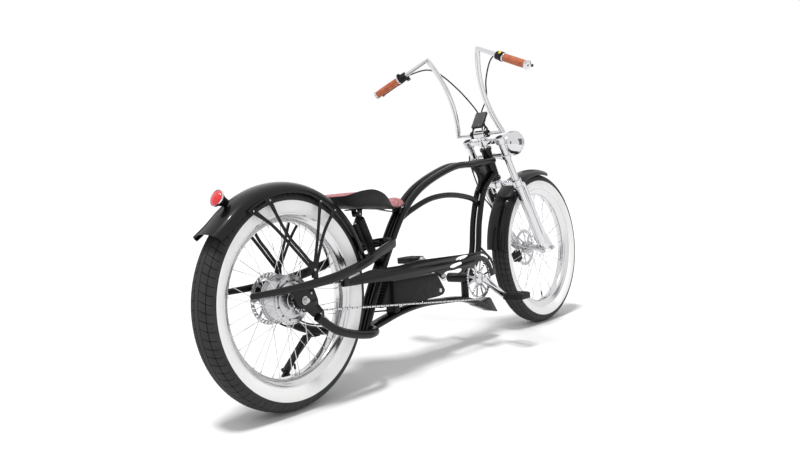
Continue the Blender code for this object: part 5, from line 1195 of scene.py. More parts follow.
def makeFrame():
    parts = twinTubes(tubes["arch"], 0.014, 0.016, 0.030, 60)
    parts += twinTubes(tubes["down"], 0.0125, 0.016, 0.016)
    parts.append(tube(smoothPath(inPlane(tubes["innerArch"]), 40), 0.012, "gloss"))
    parts.append(tube(smoothPath(inPlane(tubes["lower"]), 40), 0, "gloss", oval=(0.028, 0.0125)))
    parts.append(plate(rounded(tubes["fin"], 0.012), -0.020, 0.020, "gloss", edge=0.004))
    gusset = arc((1.187, 0.346), 0.047, 80, -75, 20)
    gusset += [(1.235, 0.285), (1.345, 0.365), (1.325, 0.425), (1.180, 0.412)]
    parts.append(plate(rounded(gusset, 0.006, 2), -0.006, 0.006, "gloss", edge=0.002))
    low = headPoint(0.345)
    reach = (headPoint(0.492) - low).length
    outline = [(0.0156, 0), (0.0245, 0), (0.0260, 0.0015), (0.0262, 0.0060), (0.0262, 0.0115)]
    outline += [(0.0250, 0.0130), (0.0224, 0.0140)]
    outline += [(r, reach - along) for r, along in reversed(outline)]
    parts.append(lathe(outline, low, headAxis, 40, "gloss"))
    parts += crankShellParts()
    upper = stayLoop(tubes["upperStay"], 0.505, 0.057, 0.130, 0.138, 96)
    thin = [0.60 + 0.40 * easeIn(min(i, 95 - i), 0, 26) for i in range(96)]
    parts.append(tube(upper, 0, "gloss", oval=(0.010, 0.017), taper=thin))
    parts.append(rod((0.408, -0.078, 0.100), (0.408, 0.078, 0.100), 0.007, "gloss"))
    parts.append(tube(stayLoop(tubes["lowerStay"], 0.300, 0.095, -0.165, -0.168, 80), 0.015, "gloss"))
    for sign in (-1, 1):
        parts += frameEndParts(sign)
    parts.append(rod((1.166, -0.015, 0.060), (1.140, -0.0870, 0.006), 0.005, "gloss"))
    parts.append(box((0.190, -0.0990, 0.020), (0.214, -0.0920, 0.055), "gloss"))
    for x in tubes["batteryFeet"]:
        parts.append(box((x - 0.015, -0.022, -0.136), (x + 0.015, 0.022, -0.1073), "satin", 0.002))
    stand = Vector(kickstand["pivot"])
    bracket = (stand - Vector((0.017, 0.037, 0.014)), stand + Vector((0.017, -0.0150, 0.014)))
    parts.append(box(*bracket, "gloss", 0.002))
    settle("frameFine", parts, "frame", ["frame"])


# Chain guard, battery and controller

guard = {
    "y": -0.090,
    "half": 0.0015,
    "hook": 0.113,
    "band": 0.072,
    "top": [(0.834, 0.052), (0.634, 0.059), (0.500, 0.053), (0.338, 0.057), (0.255, 0.046), (0.205, 0.036)],
    "bottom": [
        (0.226, 0.015), (0.332, 0.012), (0.503, 0.001), (0.731, 0.001), (0.790, -0.020), (0.858, -0.031),
        (0.918, -0.026), (0.945, -0.012), (0.972, -0.012),
    ],
    "leaves": [
        [(0.868, 0.031), (0.890, 0.027), (0.930, 0.031), (0.962, 0.041), (0.930, 0.044), (0.890, 0.041)],
        [
            (0.826, 0.008), (0.850, 0.003), (0.885, 0.007), (0.914, 0.012), (0.905, 0.020), (0.868, 0.019),
            (0.840, 0.015),
        ],
        [
            (0.780, -0.014), (0.806, -0.0225), (0.850, -0.0245), (0.896, -0.020), (0.912, -0.011),
            (0.890, -0.005), (0.850, -0.007), (0.806, -0.006),
        ],
    ],
}


def makeGuard():
    centre = drive["crank"]
    outline = guard["top"] + arc((0.190, 0.027), 0.010, 120, 270, 8) + guard["bottom"]
    outline += arc(centre, guard["band"], 140, -2, 32)
    outline += arc(centre, guard["hook"], 2, 97, 32)
    outline += [(0.940, 0.048)]
    slots = [smoothLoop(points, 40) for points in guard["leaves"]]
    for start, end in ((52, 86), (18, 46)):
        slots.append(rounded(arc(centre, 0.102, start, end, 12) + arc(centre, 0.094, end, start, 12), 0.003, 3))
    outside = guard["y"] - guard["half"]
    inside = guard["y"] + guard["half"]
    parts = [plate(rounded(outline, 0.010, 3), outside, inside, "gloss", slots, 0.0005)]
    for x, z in ((0.202, 0.030), (1.140, 0.006)):
        parts.append(capScrew((x, outside, z), (0, -1, 0), 0.0048))
    settle("chainGuardFine", parts, "frame", ["chain_guard"])


battery = {
    "half": 0.050,
    "case": [(0.510, -0.106), (0.800, -0.107), (0.829, -0.103), (0.845, -0.088), (0.793, -0.011), (0.514, -0.006)],
    "lid": [(0.521, -0.097), (0.796, -0.098), (0.818, -0.094), (0.830, -0.084), (0.786, -0.020), (0.523, -0.015)],
    "lock": (0.806, -0.083),
    "controller": [(0.446, -0.100), (0.5085, -0.100), (0.5085, -0.008), (0.5055, -0.008)],
    "fins": 8,
}


def makeBattery():
    half = battery["half"]
    parts = [plate(rounded(battery["case"], 0.010, 4), -half, half, "satin", edge=0.0045)]
    for sign in (-1, 1):
        sheet = onFlank(sign, half - 0.0010, half + 0.0009)
        parts.append(plate(rounded(battery["lid"], 0.008, 4), *sheet, "satin", edge=0.0006))
    x, z = battery["lock"]
    lock = socketHead(0.0085, 0.0012, 0.0070, 0.0022, 0.0030, 0.0026, 0.0008)
    parts.append(lathe(lock, (x, -half - 0.0008, z), (0, -1, 0), 32, "chrome"))
    port = [(0, 0), (0.0105, 0), (0.0105, 0.0014), (0.0085, 0.0024), (0, 0.0028)]
    parts.append(lathe(port, (x, half + 0.0008, z), (0, 1, 0), 32, "satin"))
    parts.append(box((0.640, -0.012, -0.0100), (0.720, 0.012, -0.0062), "satin", 0.001))
    settle("batteryFine", parts, "frame", ["battery_pack"])

    parts = [plate(rounded(battery["controller"], 0.006, 4), -0.036, 0.036, "satin", edge=0.002)]
    for i in range(battery["fins"]):
        z = -0.090 + i * 0.010
        x = 0.446 + (z + 0.100) * 0.647  # the controller's slanted back
        low = (x - 0.0028, -0.030, z - 0.0016)
        parts.append(box(low, (x + 0.004, 0.030, z + 0.0016), "dark", 0.0008, 2))
    settle("controllerFine", parts, "frame", ["motor_controller"])


# Fenders

fender = {
    "rear": {"centre": 0.0, "crest": 0.392, "edge": 0.352, "half": 0.062, "arc": (12.0, 143.0), "flare": 0.018},
    "front": {
        "centre": wheelbase, "crest": 0.382, "edge": 0.352, "half": 0.050, "arc": (77.0, 176.0), "flare": 0.0,
    },
    "wall": 0.0025,
    "flareFrom": 0.90,
}


def fenderShell(side, steps):
    sizes = fender[side]
    drop = sizes["crest"] - sizes["edge"]
    outer = []
    for i in range(25):
        angle = math.pi * i / 24
        outer.append((sizes["edge"] + drop * math.sin(angle) ** 0.75, sizes["half"] * math.cos(angle)))
    shrink = 1 - fender["wall"] / sizes["half"]
    inner = [(max(sizes["edge"], r - fender["wall"]), y * shrink) for r, y in outer]
    loop = outer + inner[::-1]
    clearSelection()
    bpy.ops.mesh.primitive_circle_add(vertices=len(loop), radius=1, fill_type="NGON", location=(0, 0, 0))
    obj = bpy.context.object
    start, end = sizes["arc"]
    first = math.radians(start)
    for vert, (radius, y) in zip(obj.data.vertices, loop):
        vert.co = (radius * math.cos(first), y, radius * math.sin(first))
    editAll(obj)
    bpy.ops.mesh.spin(steps=steps, angle=math.radians(end - start), center=(0, 0, 0), axis=(0, 1, 0))
    closeShape(obj)
    if sizes["flare"]:
        for vert in obj.data.vertices:
            share = (math.degrees(math.atan2(vert.co.z, vert.co.x)) - start) / (end - start)
            past = max(0.0, share - fender["flareFrom"])
            lift = 1 + sizes["flare"] * past ** 2 * 100 / math.hypot(vert.co.x, vert.co.z)
            vert.co.x *= lift
            vert.co.z *= lift
    moveMesh(obj, Matrix.Translation((sizes["centre"], 0, 0)))
    return paint(obj, "gloss")


def fenderBeads(side):
    sizes = fender[side]
    made = []
    start, end = sizes["arc"]
    if sizes["flare"]:
        end = start + (end - start) * fender["flareFrom"]
    edge = arc((sizes["centre"], 0), sizes["edge"] + 0.0012, start + 0.4, end - 0.4, 70)
    for sign in (-1, 1):
        line = [(x, sign * (sizes["half"] - 0.0012), z) for x, z in edge]
        made.append(tube(line, 0.0019, "gloss", resolution=3))
    return made


def makeFenders():
    parts = [fenderShell("rear", 70)] + fenderBeads("rear")
    x, z = onCircle((0, 0), fender["rear"]["crest"] - 0.004, 12)
    parts.append(rod((x + 0.003, 0, z), (0.4005, 0, 0.0985), 0.006, "gloss"))
    parts.append(box((x - 0.004, -0.016, z - 0.006), (x + 0.003, 0.016, z + 0.010), "gloss", 0.0015))
    settle("rearFenderFine", parts, "frame", ["rear_fender"], 40)
    parts = [fenderShell("front", 56)] + fenderBeads("front")
    x, _, z = legPoint(0.269)
    for sign in (-1, 1):
        low, high = onFlank(sign, 0.0415, tubes["legY"] - 0.0193)
        parts.append(box((x - 0.007, low, z - 0.009), (x + 0.007, high, z + 0.009), "gloss", 0.0015))
        parts.append(capScrew((x - 0.0005, sign * 0.0480, z + 0.0150), (0.3, sign * 0.2, 0.9), 0.0036))
    settle("frontFenderFine", parts, "steering", ["front_fender"], 40)


stays = {
    # points of each bar in the bike's x-z plane
    "bars": [
        [(0.048, 0.098), (0.000, 0.152), (-0.048, 0.204), (-0.100, 0.256), (-0.1735, 0.3064)],
        [(0.060, 0.104), (0.014, 0.158), (-0.030, 0.208), (-0.063, 0.268), (-0.0960, 0.3388)],
        [(0.062, 0.100), (0.085, 0.160), (0.107, 0.222), (0.124, 0.276), (0.1398, 0.3231)],
        [(0.070, 0.096), (0.100, 0.154), (0.132, 0.208), (0.166, 0.248), (0.2060, 0.2855)],
    ],
    "half": 0.0056,
    "lowY": 0.0885,
    "topY": 0.0655,
    "rootZ": 0.092,
    "root": [
        (0.042, 0.124), (0.048, 0.086), (0.074, 0.086), (0.084, 0.130), (0.070, 0.126), (0.060, 0.118),
        (0.050, 0.126),
    ],
}


def stayPlace(x, z, sign):
    # the stays lean in from the dropout to the fender's edge
    share = min(1.0, max(0.0, (z - stays["rootZ"]) / (0.330 - stays["rootZ"])))
    return Vector((x, sign * (stays["lowY"] + (stays["topY"] - stays["lowY"]) * share), z))


def leanedPlate(outline, sign, holes=()):
    shape = plate(outline, -0.0019, 0.0019, "gloss", holes, 0.0006)
    for vert in shape.data.vertices:
        vert.co.y += stayPlace(vert.co.x, vert.co.z, sign).y
    return shape


def makeStays(side, sign):
    low, high = sorted((sign * stays["lowY"] - 0.002, sign * stays["lowY"] + 0.002))
    parts = [box((0.046, low, 0.0660), (0.076, high, 0.102), "gloss", 0.0012)]
    for line in stays["bars"]:
        path = smoothPath([stayPlace(x, z, sign) for x, z in line], 26)
        left, right = [], []
        for i, spot in enumerate(path):
            ahead = (path[min(i + 1, 25)] - path[max(i - 1, 0)]).normalized()
            width = stays["half"] + 0.0035 * easeIn(i, 19, 25)
            left.append((spot.x - ahead.z * width, spot.z + ahead.x * width))
            right.append((spot.x + ahead.z * width, spot.z - ahead.x * width))
        parts.append(leanedPlate(left + right[::-1], sign))
        back = (path[-1] - path[-2]).normalized() * 0.008
        parts.append(capScrew(path[-1] - back + Vector((0, sign * 0.0018, 0)), (0, sign, 0), 0.0032))
    parts.append(leanedPlate(rounded(stays["root"], 0.004, 3), sign))
    band = arc((0, 0), 0.3585, 122, 103.5, 14) + arc((0, 0), 0.336, 104.5, 121, 14)
    slot = arc((0, 0), 0.3515, 117, 108.5, 8) + arc((0, 0), 0.3445, 109, 116.5, 8)
    parts.append(leanedPlate(rounded(band, 0.004, 3), sign, [rounded(slot, 0.002, 3)]))
    parts.append(capScrew((0.061, sign * 0.0905, 0.092), (0, sign, 0), 0.0050))
    settle("fenderStay" + side.title(), parts, "frame", ["rear_fender_stay_" + side])


tailLamp = {
    "centre": (-0.2400, 0, 0.3460),
    "facing": (-0.90, 0, 0.44),
    # sections as (radius, distance out)
    "cup": [
        (0, -0.0270), (0.0130, -0.0270), (0.0170, -0.0100), (0.0215, 0.0), (0.0262, 0.0085), (0.0268, 0.0105),
        (0.0258, 0.0108), (0.0245, 0.0060), (0, 0.0060),
    ],
    "rim": [
        (0.0245, 0.0060), (0.0272, 0.0075), (0.0288, 0.0105), (0.0292, 0.0140), (0.0284, 0.0160),
        (0.0262, 0.0156), (0.0250, 0.0130),
    ],
    "lens": [
        (0, 0.0064), (0.0252, 0.0064), (0.0256, 0.0140), (0.0248, 0.0162), (0.0215, 0.0196), (0.0160, 0.0222),
        (0.0080, 0.0238), (0, 0.0242),
    ],
}


def makeTailLamp():
    facing = Vector(tailLamp["facing"]).normalized()
    cup, rim, lens = (
        lathe(tailLamp[name], Vector(tailLamp["centre"]), facing, 48, finish)
        for name, finish in (("cup", "gloss"), ("rim", "chrome"), ("lens", "red"))
    )
    settle("tailLampFine", [cup, rim], "frame", ["tail_lamp_housing"])
    settle("tailLensFine", [lens], "frame", ["tail_lamp_lens"])


makeFrame()
makeGuard()
makeBattery()
makeFenders()
for sideName, sideSign in (("right", -1), ("left", 1)):
    makeStays(sideName, sideSign)
makeTailLamp()
print("frame and fenders are made")


# Fork and crowns

fork = {
    "stanchion": 0.015,
    "slider": 0.0190,
    "boss": 0.024,
    "crownHalf": 0.014,
    "trussOffset": 0.045,
    "truss": 0.0098,
    "lowerCrown": 0.325,
    "upperCrown": 0.518,
}


def crownParts(z, bore):
    middle = headPoint(z)
    half = fork["crownHalf"]
    if bore:
        boss = ring(middle, headAxis, bore, fork["boss"], half, "chrome", 0.003)
    else:
        ends = (middle - headAxis * half, middle + headAxis * half)
        boss = rod(*ends, fork["boss"], "chrome", edge=0.003, steps=40)
    parts = [boss]
    for sign in (-1, 1):
        leg = legPoint(z, sign * tubes["legY"])
        across = (leg - middle).normalized()
        parts.append(ring(leg, legAxis, fork["stanchion"] + 0.0006, 0.0222, half + 0.002, "chrome", 0.003))
        start = middle + across * 0.015
        length = (leg - across * 0.0175 - start).length
        arm = box((-0.0125, -0.0105, 0), (0.0125, 0.0105, length), "chrome", 0.004)
        side = headAxis.cross(across).normalized()
        turn = Matrix((side, across.cross(side), across)).transposed().to_4x4()
        parts.append(moveMesh(arm, Matrix.Translation(start) @ turn))
        back = side * (1 if side.x < 0 else -1)
        for rise in (0.007, -0.007):
            parts.append(capScrew(leg + back * 0.0200 + legAxis * rise, back, 0.0036))
    return parts


def legParts(y):
    base = legPoint(0.030, y)
    step = (legPoint(fork["lowerCrown"] - 0.0165 * math.sin(tubes["legAngle"]), y) - base).length
    top = (legPoint(0.533, y) - base).length
    slider = fork["slider"]
    outline = [(0, 0), (0.0145, 0), (0.0180, 0.0030), (slider, 0.0070), (slider, step - 0.0120)]
    outline += [(0.0198, step - 0.0110), (0.0198, step - 0.0030), (0.0185, step - 0.0010), (0.0160, step)]
    outline += [(fork["stanchion"], step + 0.0010), (fork["stanchion"], top - 0.0080), (0, top - 0.0080)]
    parts = [lathe(outline, base, legAxis, 40, "chrome")]
    cap = [(0, 0), (0.0150, 0), (0.0152, 0.0040), (0.0140, 0.0070), (0.0080, 0.0082), (0, 0.0084)]
    parts.append(lathe(cap, base + legAxis * (top - 0.0082), legAxis, 32, "satin"))
    out = fork["trussOffset"]
    route = ((0.306, 0.009), (0.300, out * 0.72), (0.278, out), (0.160, out), (0.044, out))
    truss = [legPoint(z, y, ahead) for z, ahead in route]
    parts.append(tube(smoothPath(truss, 44), fork["truss"], "chrome"))
    foot = legPoint(0.030)
    corners = [(-0.014, 0.030), (-0.010, 0.002), (0.035, -0.028)]
    outline = [(foot.x + x, foot.z + z) for x, z in corners]
    outline += arc((wheelbase, 0), 0.017, 250, 430, 16)
    outline += [(foot.x + 0.062, foot.z + 0.032), (foot.x + 0.036, foot.z + 0.058)]
    hole = circle((wheelbase, 0), 0.0056)
    parts.append(plate(rounded(outline, 0.006, 3), y - 0.003, y + 0.003, "chrome", [hole], 0.0010))
    return parts


def makeFork():
    parts = crownParts(fork["lowerCrown"], 0)
    top = headPoint(fork["upperCrown"]) + headAxis * fork["crownHalf"]
    parts.append(rod(headPoint(fork["lowerCrown"]), top, 0.0143, "chrome"))
    settle("lowerCrownFine", parts, "steering", ["lower_crown_and_steerer"])
    settle("upperCrownFine", crownParts(fork["upperCrown"], 0.0149), "steering", ["upper_crown"])
    for side, sign in (("left", 1), ("right", -1)):
        parts = legParts(sign * tubes["legY"])
        settle("forkLeg" + side.title(), parts, "steering", ["fork_leg_" + side])


def makeCaliper(name, node, centreX, degrees, y, lowY, highY, body):
    # a block over the disc's edge, in two halves with a slot between
    parts = []
    for low, high in ((lowY, y - 0.0025), (y + 0.0025, highY)):
        parts.append(box((0.064, low, -0.024), (0.102, high, 0.024), "satin", 0.0030))
    parts.append(box((0.0945, y - 0.004, -0.020), (0.102, y + 0.004, 0.020), "satin", 0.0015))
    knob = socketHead(0.0105, 0.0030, 0.0090, 0.0042, 0.0040, 0.0035, 0.0020)
    parts.append(lathe(knob, (0.080, highY - 0.0042, 0), (0, 1, 0), 24, "satin"))
    for z in (-0.017, 0.017):
        parts.append(capScrew((0.0950, highY - 0.0030, z), (0, 1, 0), 0.0038))
    place = Matrix.Translation((centreX, 0, 0)) @ Matrix.Rotation(-math.radians(degrees), 4, "Y")
    settle(name, [moveMesh(joined(parts), place)], body, [node])


# Handlebar, grips and controls

bars = {
    "centre": (1.274, 0.553),
    "cornerY": 0.114,
    "elbow": Vector((1.098, 0.129, 0.900)),
    "bow": 0.036,
    "gripOuter": Vector((1.034, 0.382, 0.779)),
    "gripLength": 0.132,
    "gripEnd": 0.0083,
    "stitches": 22,
    "radius": 0.011,
    "post": [
        (0, 0), (0.0200, 0), (0.0210, 0.0010), (0.0210, 0.0080), (0.0190, 0.0120), (0.0185, 0.0210), (0, 0.0220),
    ],
    "leverInward": 0.0275,
    "buttonInward": 0.0092,
}


def onSide(side, point):
    return Vector(point) if side == "left" else Vector((point[0], -point[1], point[2]))


def gripAxis(side):
    return (onSide(side, bars["gripOuter"]) - onSide(side, bars["elbow"])).normalized()


def gripPlace(side, inward=0.0):
    return onSide(side, bars["gripOuter"]) - gripAxis(side) * (bars["gripLength"] + inward)


def riserPoints(side, count=22):
    corner = Vector((bars["centre"][0], bars["cornerY"], bars["centre"][1]))
    points = []
    for i in range(count + 1):
        share = i / count
        point = corner.lerp(bars["elbow"], share)
        point.y -= bars["bow"] * 4 * share * (1 - share)
        points.append(onSide(side, point))
    return points


def sleeve(side):
    # the bright tube under a grip, with its flanges and end cap
    inner = bars["radius"] + 0.0009 if side == "right" else bars["radius"] - 0.002
    outline = [(inner, 0), (0.0160, 0), (0.0176, 0.0008), (0.0180, 0.0022), (0.0180, 0.0062), (0.0172, 0.0078)]
    outline.append((0.0135, 0.0080))
    ending = [
        (0.0135, -0.0080), (0.0172, -0.0078), (0.0180, -0.0060), (0.0184, -0.0030), (0.0192, -0.0010),
        (0.0190, 0.0012), (0.0165, 0.0030), (0.0100, 0.0038), (0.0060, 0.0040), (0.0042, 0.0034),
        (0.0040, -0.0015), (inner, -0.0015),
    ]
    outline += [(radius, bars["gripLength"] + along) for radius, along in ending]
    return lathe(outline, gripPlace(side), gripAxis(side), 48, "chrome")


def makeHandlebar():
    path = [onSide("left", bars["gripOuter"]) - gripAxis("left") * 0.003]
    path += list(reversed(riserPoints("left"))) + riserPoints("right")
    path.append(onSide("right", bars["gripOuter"]) - gripAxis("right") * 0.003)
    parts = [tube(path, bars["radius"], "chrome", resolution=8), sleeve("left")]
    settle("handlebarFine", parts, "steering", ["handlebar"], 30)
    x, z = bars["centre"]
    low = headPoint(fork["upperCrown"]) + headAxis * 0.0143
    parts = [lathe(bars["post"], low, headAxis, 40, "chrome")]
    parts.append(ring((x, 0, z), (0, 1, 0), bars["radius"] + 0.0005, 0.0186, 0.026, "chrome", 0.0020))
    for y in (-0.017, 0.017):
        for height in (-0.010, 0.010):
            parts.append(capScrew((x + 0.0160, y, z + height), (1, 0, 0.2), 0.0036))
    settle("stemFine", parts, "steering", ["stem"])


def makeGrips():
    for side, body in (("left", "steering"), ("right", "throttle")):
        if side == "right":
            settle("gripSleeveRight", [sleeve("right")], body, ["grip_sleeve_right"])
        low = bars["gripEnd"]
        high = bars["gripLength"] - bars["gripEnd"]
        outline = [(0.0141, low), (0.0148, low), (0.0157, low + 0.0016), (0.0160, low + 0.0050)]
        for i in range(1, 20):
            along = low + 0.005 + (high - low - 0.010) * i / 20
            outline.append((0.0160 + 0.0004 * math.sin(math.pi * i / 20), along))
        outline += [(0.0160, high - 0.0050), (0.0157, high - 0.0016), (0.0148, high), (0.0141, high)]
        axis = gripAxis(side)
        parts = [lathe(outline, gripPlace(side), axis, 48, "grip")]
        under = Vector((0.35, 0, -1))
        under = (under - axis * under.dot(axis)).normalized()
        start = gripPlace(side) + axis * (low + 0.004) + under * 0.0163
        stitch = rod((0, 0, 0), (0, 0, 0.0032), 0.0005, "grip", edge=0.0001, steps=6)
        step = (high - low - 0.012) / bars["stitches"]
        spots = [start + axis * (i * step) for i in range(bars["stitches"])]
        parts += copies(stitch, [axisTurn(spot, axis) for spot in spots])
        settle("gripWrap" + side.title(), parts, body, ["grip_wrap_" + side])


def leverFrame(side):
    axis = gripAxis(side)
    ahead = (Vector((1, 0, 0)) - axis * axis.x).normalized()
    return gripPlace(side, bars["leverInward"]) + ahead * 0.040, ahead, ahead.cross(axis).normalized()


def buttonFrame(side):
    axis = gripAxis(side)
    back = Vector((-0.75, 0, 0.66))
    back = (back - axis * back.dot(axis)).normalized()
    return gripPlace(side, bars["buttonInward"]), back


def makeLevers():
    length = bars["gripLength"]
    knob = [(0, -0.0062), (0.0034, -0.0052), (0.0056, -0.0028), (0.0062, 0), (0.0056, 0.0028), (0.0034, 0.0052)]
    knob.append((0, 0.0062))
    plastic = "matte_black_plastic"
    for side in ("left", "right"):
        pivot, ahead, upward = leverFrame(side)
        axis = gripAxis(side)
        reach = [(-0.004, 0), (0.012, 0.001), (0.040, 0.004), (length * 0.55, -0.001), (length + 0.012, 0.003)]
        path = smoothPath([pivot + axis * along + ahead * out for along, out in reach], 40)
        section = [1.0 + 0.15 * math.sin(math.pi * i / 39) for i in range(40)]
        parts = [tube(path, 0.0040, "satin", taper=section), lathe(knob, path[-1], axis, 20, "satin")]
        for half, radius, finish, steps in ((0.0105, 0.003, "steel", 16), (0.0040, 0.0075, "satin", 24)):
            parts.append(rod(pivot - upward * half, pivot + upward * half, radius, finish, steps=steps))
        settle("brakeLever" + side.title(), parts, "brake_lever_" + side, ["brake_lever_" + side])
        node = "brake_lever_clamp_" + side
        clamp = cadCopy(node, "satin", 0.0009)
        settle("leverClamp" + side.title(), [clamp], "steering", [node], placed=True)
    housing = cadCopy("throttle_housing", "satin", 0.0008)
    settle("throttleHousingFine", [housing], "steering", ["throttle_housing"], placed=True)
    cap = [(0, 0.0195), (0.0062, 0.0195), (0.0063, 0.0258), (0.0058, 0.0270), (0.0044, 0.0278), (0.0020, 0.0276)]
    cap.append((0, 0.0274))
    for side, node, look, slotName in (
        ("left", "switch_button", "satin", plastic), ("right", "throttle_button", "yellow", "yellow_plastic"),
    ):
        settle(node + "Fine", [lathe(cap, *buttonFrame(side), 32, look)], node, [node])


# Display and headlamp

panel = {"centre": Vector((1.2775, 0, 0.617)), "tilt": math.radians(37), "half": (0.007, 0.028, 0.0425)}

lamp = {
    "radius": 0.059,
    "front": (1.56, 0.512),
    "length": 0.100,
    "pivot": (1.500, 0.438),
    # the shell's outside as shares of its radius and length, then its rim and reflector in metres
    "shell": [
        (0, -1.0), (0.10, -0.996), (0.22, -0.982), (0.38, -0.945), (0.53, -0.87), (0.66, -0.76), (0.76, -0.64),
        (0.84, -0.50), (0.89, -0.36), (0.93, -0.20), (0.945, -0.15),
    ],
    "rim": [(0.955, -0.0135), (0.985, -0.0128), (1, -0.0110), (1, -0.0020), (0.985, 0.0002)],
    "reflector": [(0.78, -0.0260), (0.55, -0.0480), (0.26, -0.0580), (0, -0.0600)],
    "bulb": [
        (0, -0.0560), (0.0070, -0.0560), (0.0070, -0.0460), (0.0045, -0.0420), (0.0045, -0.0290),
        (0.0030, -0.0260), (0, -0.0250),
    ],
}


def makeDisplay():
    turn = Matrix.Translation(panel["centre"]) @ Matrix.Rotation(panel["tilt"], 4, "Y")
    halfX, halfY, halfZ = panel["half"]
    case = box((-halfX + 0.0012, -halfY, -halfZ), (halfX, halfY, halfZ), "satin", 0.0030)
    low = (-halfX, -halfY + 0.0012, -halfZ + 0.0012)
    face = box(low, (-halfX + 0.0040, halfY - 0.0012, halfZ - 0.0012), "screen", 0.0012)
    settle("displayFine", [moveMesh(case, turn), moveMesh(face, turn)], "steering", ["display"])
    x, z = bars["centre"]
    back = halfX + 0.0003
    parts = [moveMesh(box((back, -0.024, -0.034), (back + 0.005, 0.024, 0.010), "satin", 0.0012), turn)]
    for sign in (-1, 1):
        middle = Vector((x, sign * 0.038, z))
        parts.append(ring(middle, (0, 1, 0), bars["radius"] + 0.0008, 0.0165, 0.006, "satin", 0.0012, 32))
        top = turn @ Vector((back + 0.0035, sign * 0.020, -0.020))
        foot = middle + (top - Vector((x, top.y, z))).normalized() * 0.0140
        path = [foot, foot.lerp(top, 0.5) + Vector((0.002, sign * 0.004, 0)), top]
        parts.append(tube(smoothPath(path, 14), 0, "satin", oval=(0.0042, 0.0036)))
        parts.append(capScrew(middle + Vector((-0.0135, 0, -0.0085)), (-0.8, 0, -0.5), 0.0034))
    settle("displayBracketFine", parts, "steering", ["display_bracket"])


def makeLampBracket(pivotX, pivotZ):
    front = legPoint(0.446, 0, 0.0225)
    parts = [rod((front.x, -0.0885, front.z), (front.x, 0.0885, front.z), 0.006, "chrome", edge=0.001)]
    angle = math.degrees(math.atan2(front.z - pivotZ, front.x + 0.002 - pivotX))
    ear = arc(lamp["pivot"], 0.009, angle + 90, angle + 270, 14)
    ear += arc((front.x + 0.002, front.z), 0.009, angle - 90, angle + 90, 14)
    for sign in (-1, 1):
        collar = legPoint(0.446, sign * tubes["legY"])
        parts.append(ring(collar, legAxis, fork["stanchion"] + 0.0005, 0.0205, 0.009, "chrome", 0.0015))
        parts.append(plate(ear, *onFlank(sign, 0.0073, 0.0110), "chrome", edge=0.0006))
        parts.append(capScrew((pivotX, sign * 0.0110, pivotZ), (0, sign, 0), 0.0048))
    parts.append(rod((pivotX, -0.0115, pivotZ), (pivotX, 0.0115, pivotZ), 0.003, "steel", steps=16))
    settle("headlampBracketFine", parts, "steering", ["headlamp_bracket"])


def makeHeadlamp():
    x, z = lamp["front"]
    radius = lamp["radius"]
    outline = [(radius * r, lamp["length"] * along) for r, along in lamp["shell"]]
    outline += [(radius * r, along) for r, along in lamp["rim"]]
    outline += [(radius - 0.0040, 0.0010), (radius - 0.0056, 0.0002), (radius - 0.0062, -0.0100)]
    outline += [(radius * r, along) for r, along in lamp["reflector"]]
    parts = [lathe(outline, (x, 0, z), (1, 0, 0), 64, "chrome")]
    pivotX, pivotZ = lamp["pivot"]
    parts.append(ring((pivotX, 0, pivotZ), (0, 1, 0), 0.0038, 0.0090, 0.0068, "chrome", 0.0012, 32))
    parts.append(rod((pivotX, 0, pivotZ + 0.006), (pivotX, 0, z - 0.044), 0.0062, "chrome"))
    parts.append(lathe(lamp["bulb"], (x, 0, z), (1, 0, 0), 20, "alloy"))
    settle("headlampFine", parts, "headlamp", ["headlamp_shell"], 30)
    inner = radius - 0.0066
    lens = [(0, -0.0030), (inner - 0.003, -0.0040), (inner, -0.0030), (inner, -0.0005), (inner - 0.003, 0.0018)]
    lens += [(inner * 0.8, 0.0050), (inner * 0.55, 0.0078), (inner * 0.25, 0.0095), (0, 0.0100)]
    glass = lathe(lens, (x, 0, z), (1, 0, 0), 64, "clear")
    settle("headlampLensFine", [glass], "headlamp", ["headlamp_lens"])
    makeLampBracket(pivotX, pivotZ)


makeFork()
makeCaliper("rearCaliperFine", "rear_brake_caliper", 0, -6, 0.0738, 0.0600, 0.0860, "frame")
makeCaliper("frontCaliperFine", "front_brake_caliper", wheelbase, 205, 0.059, 0.0460, 0.0780, "steering")
makeHandlebar()
makeGrips()
makeLevers()
makeDisplay()
makeHeadlamp()
print("fork, bars and lamps are made")


# Seat: a stuffed leather cushion in a moulded shell, on a sprung rail

saddle = {
    # x, half width, top, rim of the shell, underside
    "stations": [
        (0.283, 0.057, 0.320, 0.3250, 0.300), (0.293, 0.092, 0.327, 0.3340, 0.286),
        (0.312, 0.115, 0.333, 0.3395, 0.278), (0.345, 0.131, 0.338, 0.3400, 0.274),
        (0.390, 0.135, 0.338, 0.3260, 0.272), (0.430, 0.124, 0.333, 0.3060, 0.270),
        (0.470, 0.100, 0.322, 0.2900, 0.268), (0.510, 0.073, 0.304, 0.278, 0.265),
        (0.548, 0.054, 0.2965, 0.270, 0.261), (0.585, 0.0446, 0.3035, 0.267, 0.260),
        (0.618, 0.039, 0.3078, 0.270, 0.263), (0.646, 0.029, 0.299, 0.276, 0.270),
        (0.664, 0.0135, 0.287, 0.281, 0.278),
    ],
    "shellEnd": 0.600,
    "wall": 0.0035,
    "recess": 0.008,
    "inset": 0.0025,
    "voxel": 0.0045,
    "cover": {
        "quality": 6, "mass": 0.3, "tension_stiffness": 25, "compression_stiffness": 12, "shear_stiffness": 12,
        "bending_stiffness": 1.2, "use_pressure": True, "uniform_pressure_force": 4.0,
        "vertex_group_mass": "pinned",
    },
    "mostSwell": 0.0030,
    "seamInset": 0.014,
    "piping": 0.0016,
    "rail": [(0.610, 0.252), (0.560, 0.257), (0.500, 0.268), (0.430, 0.2735), (0.340, 0.2735)],
}


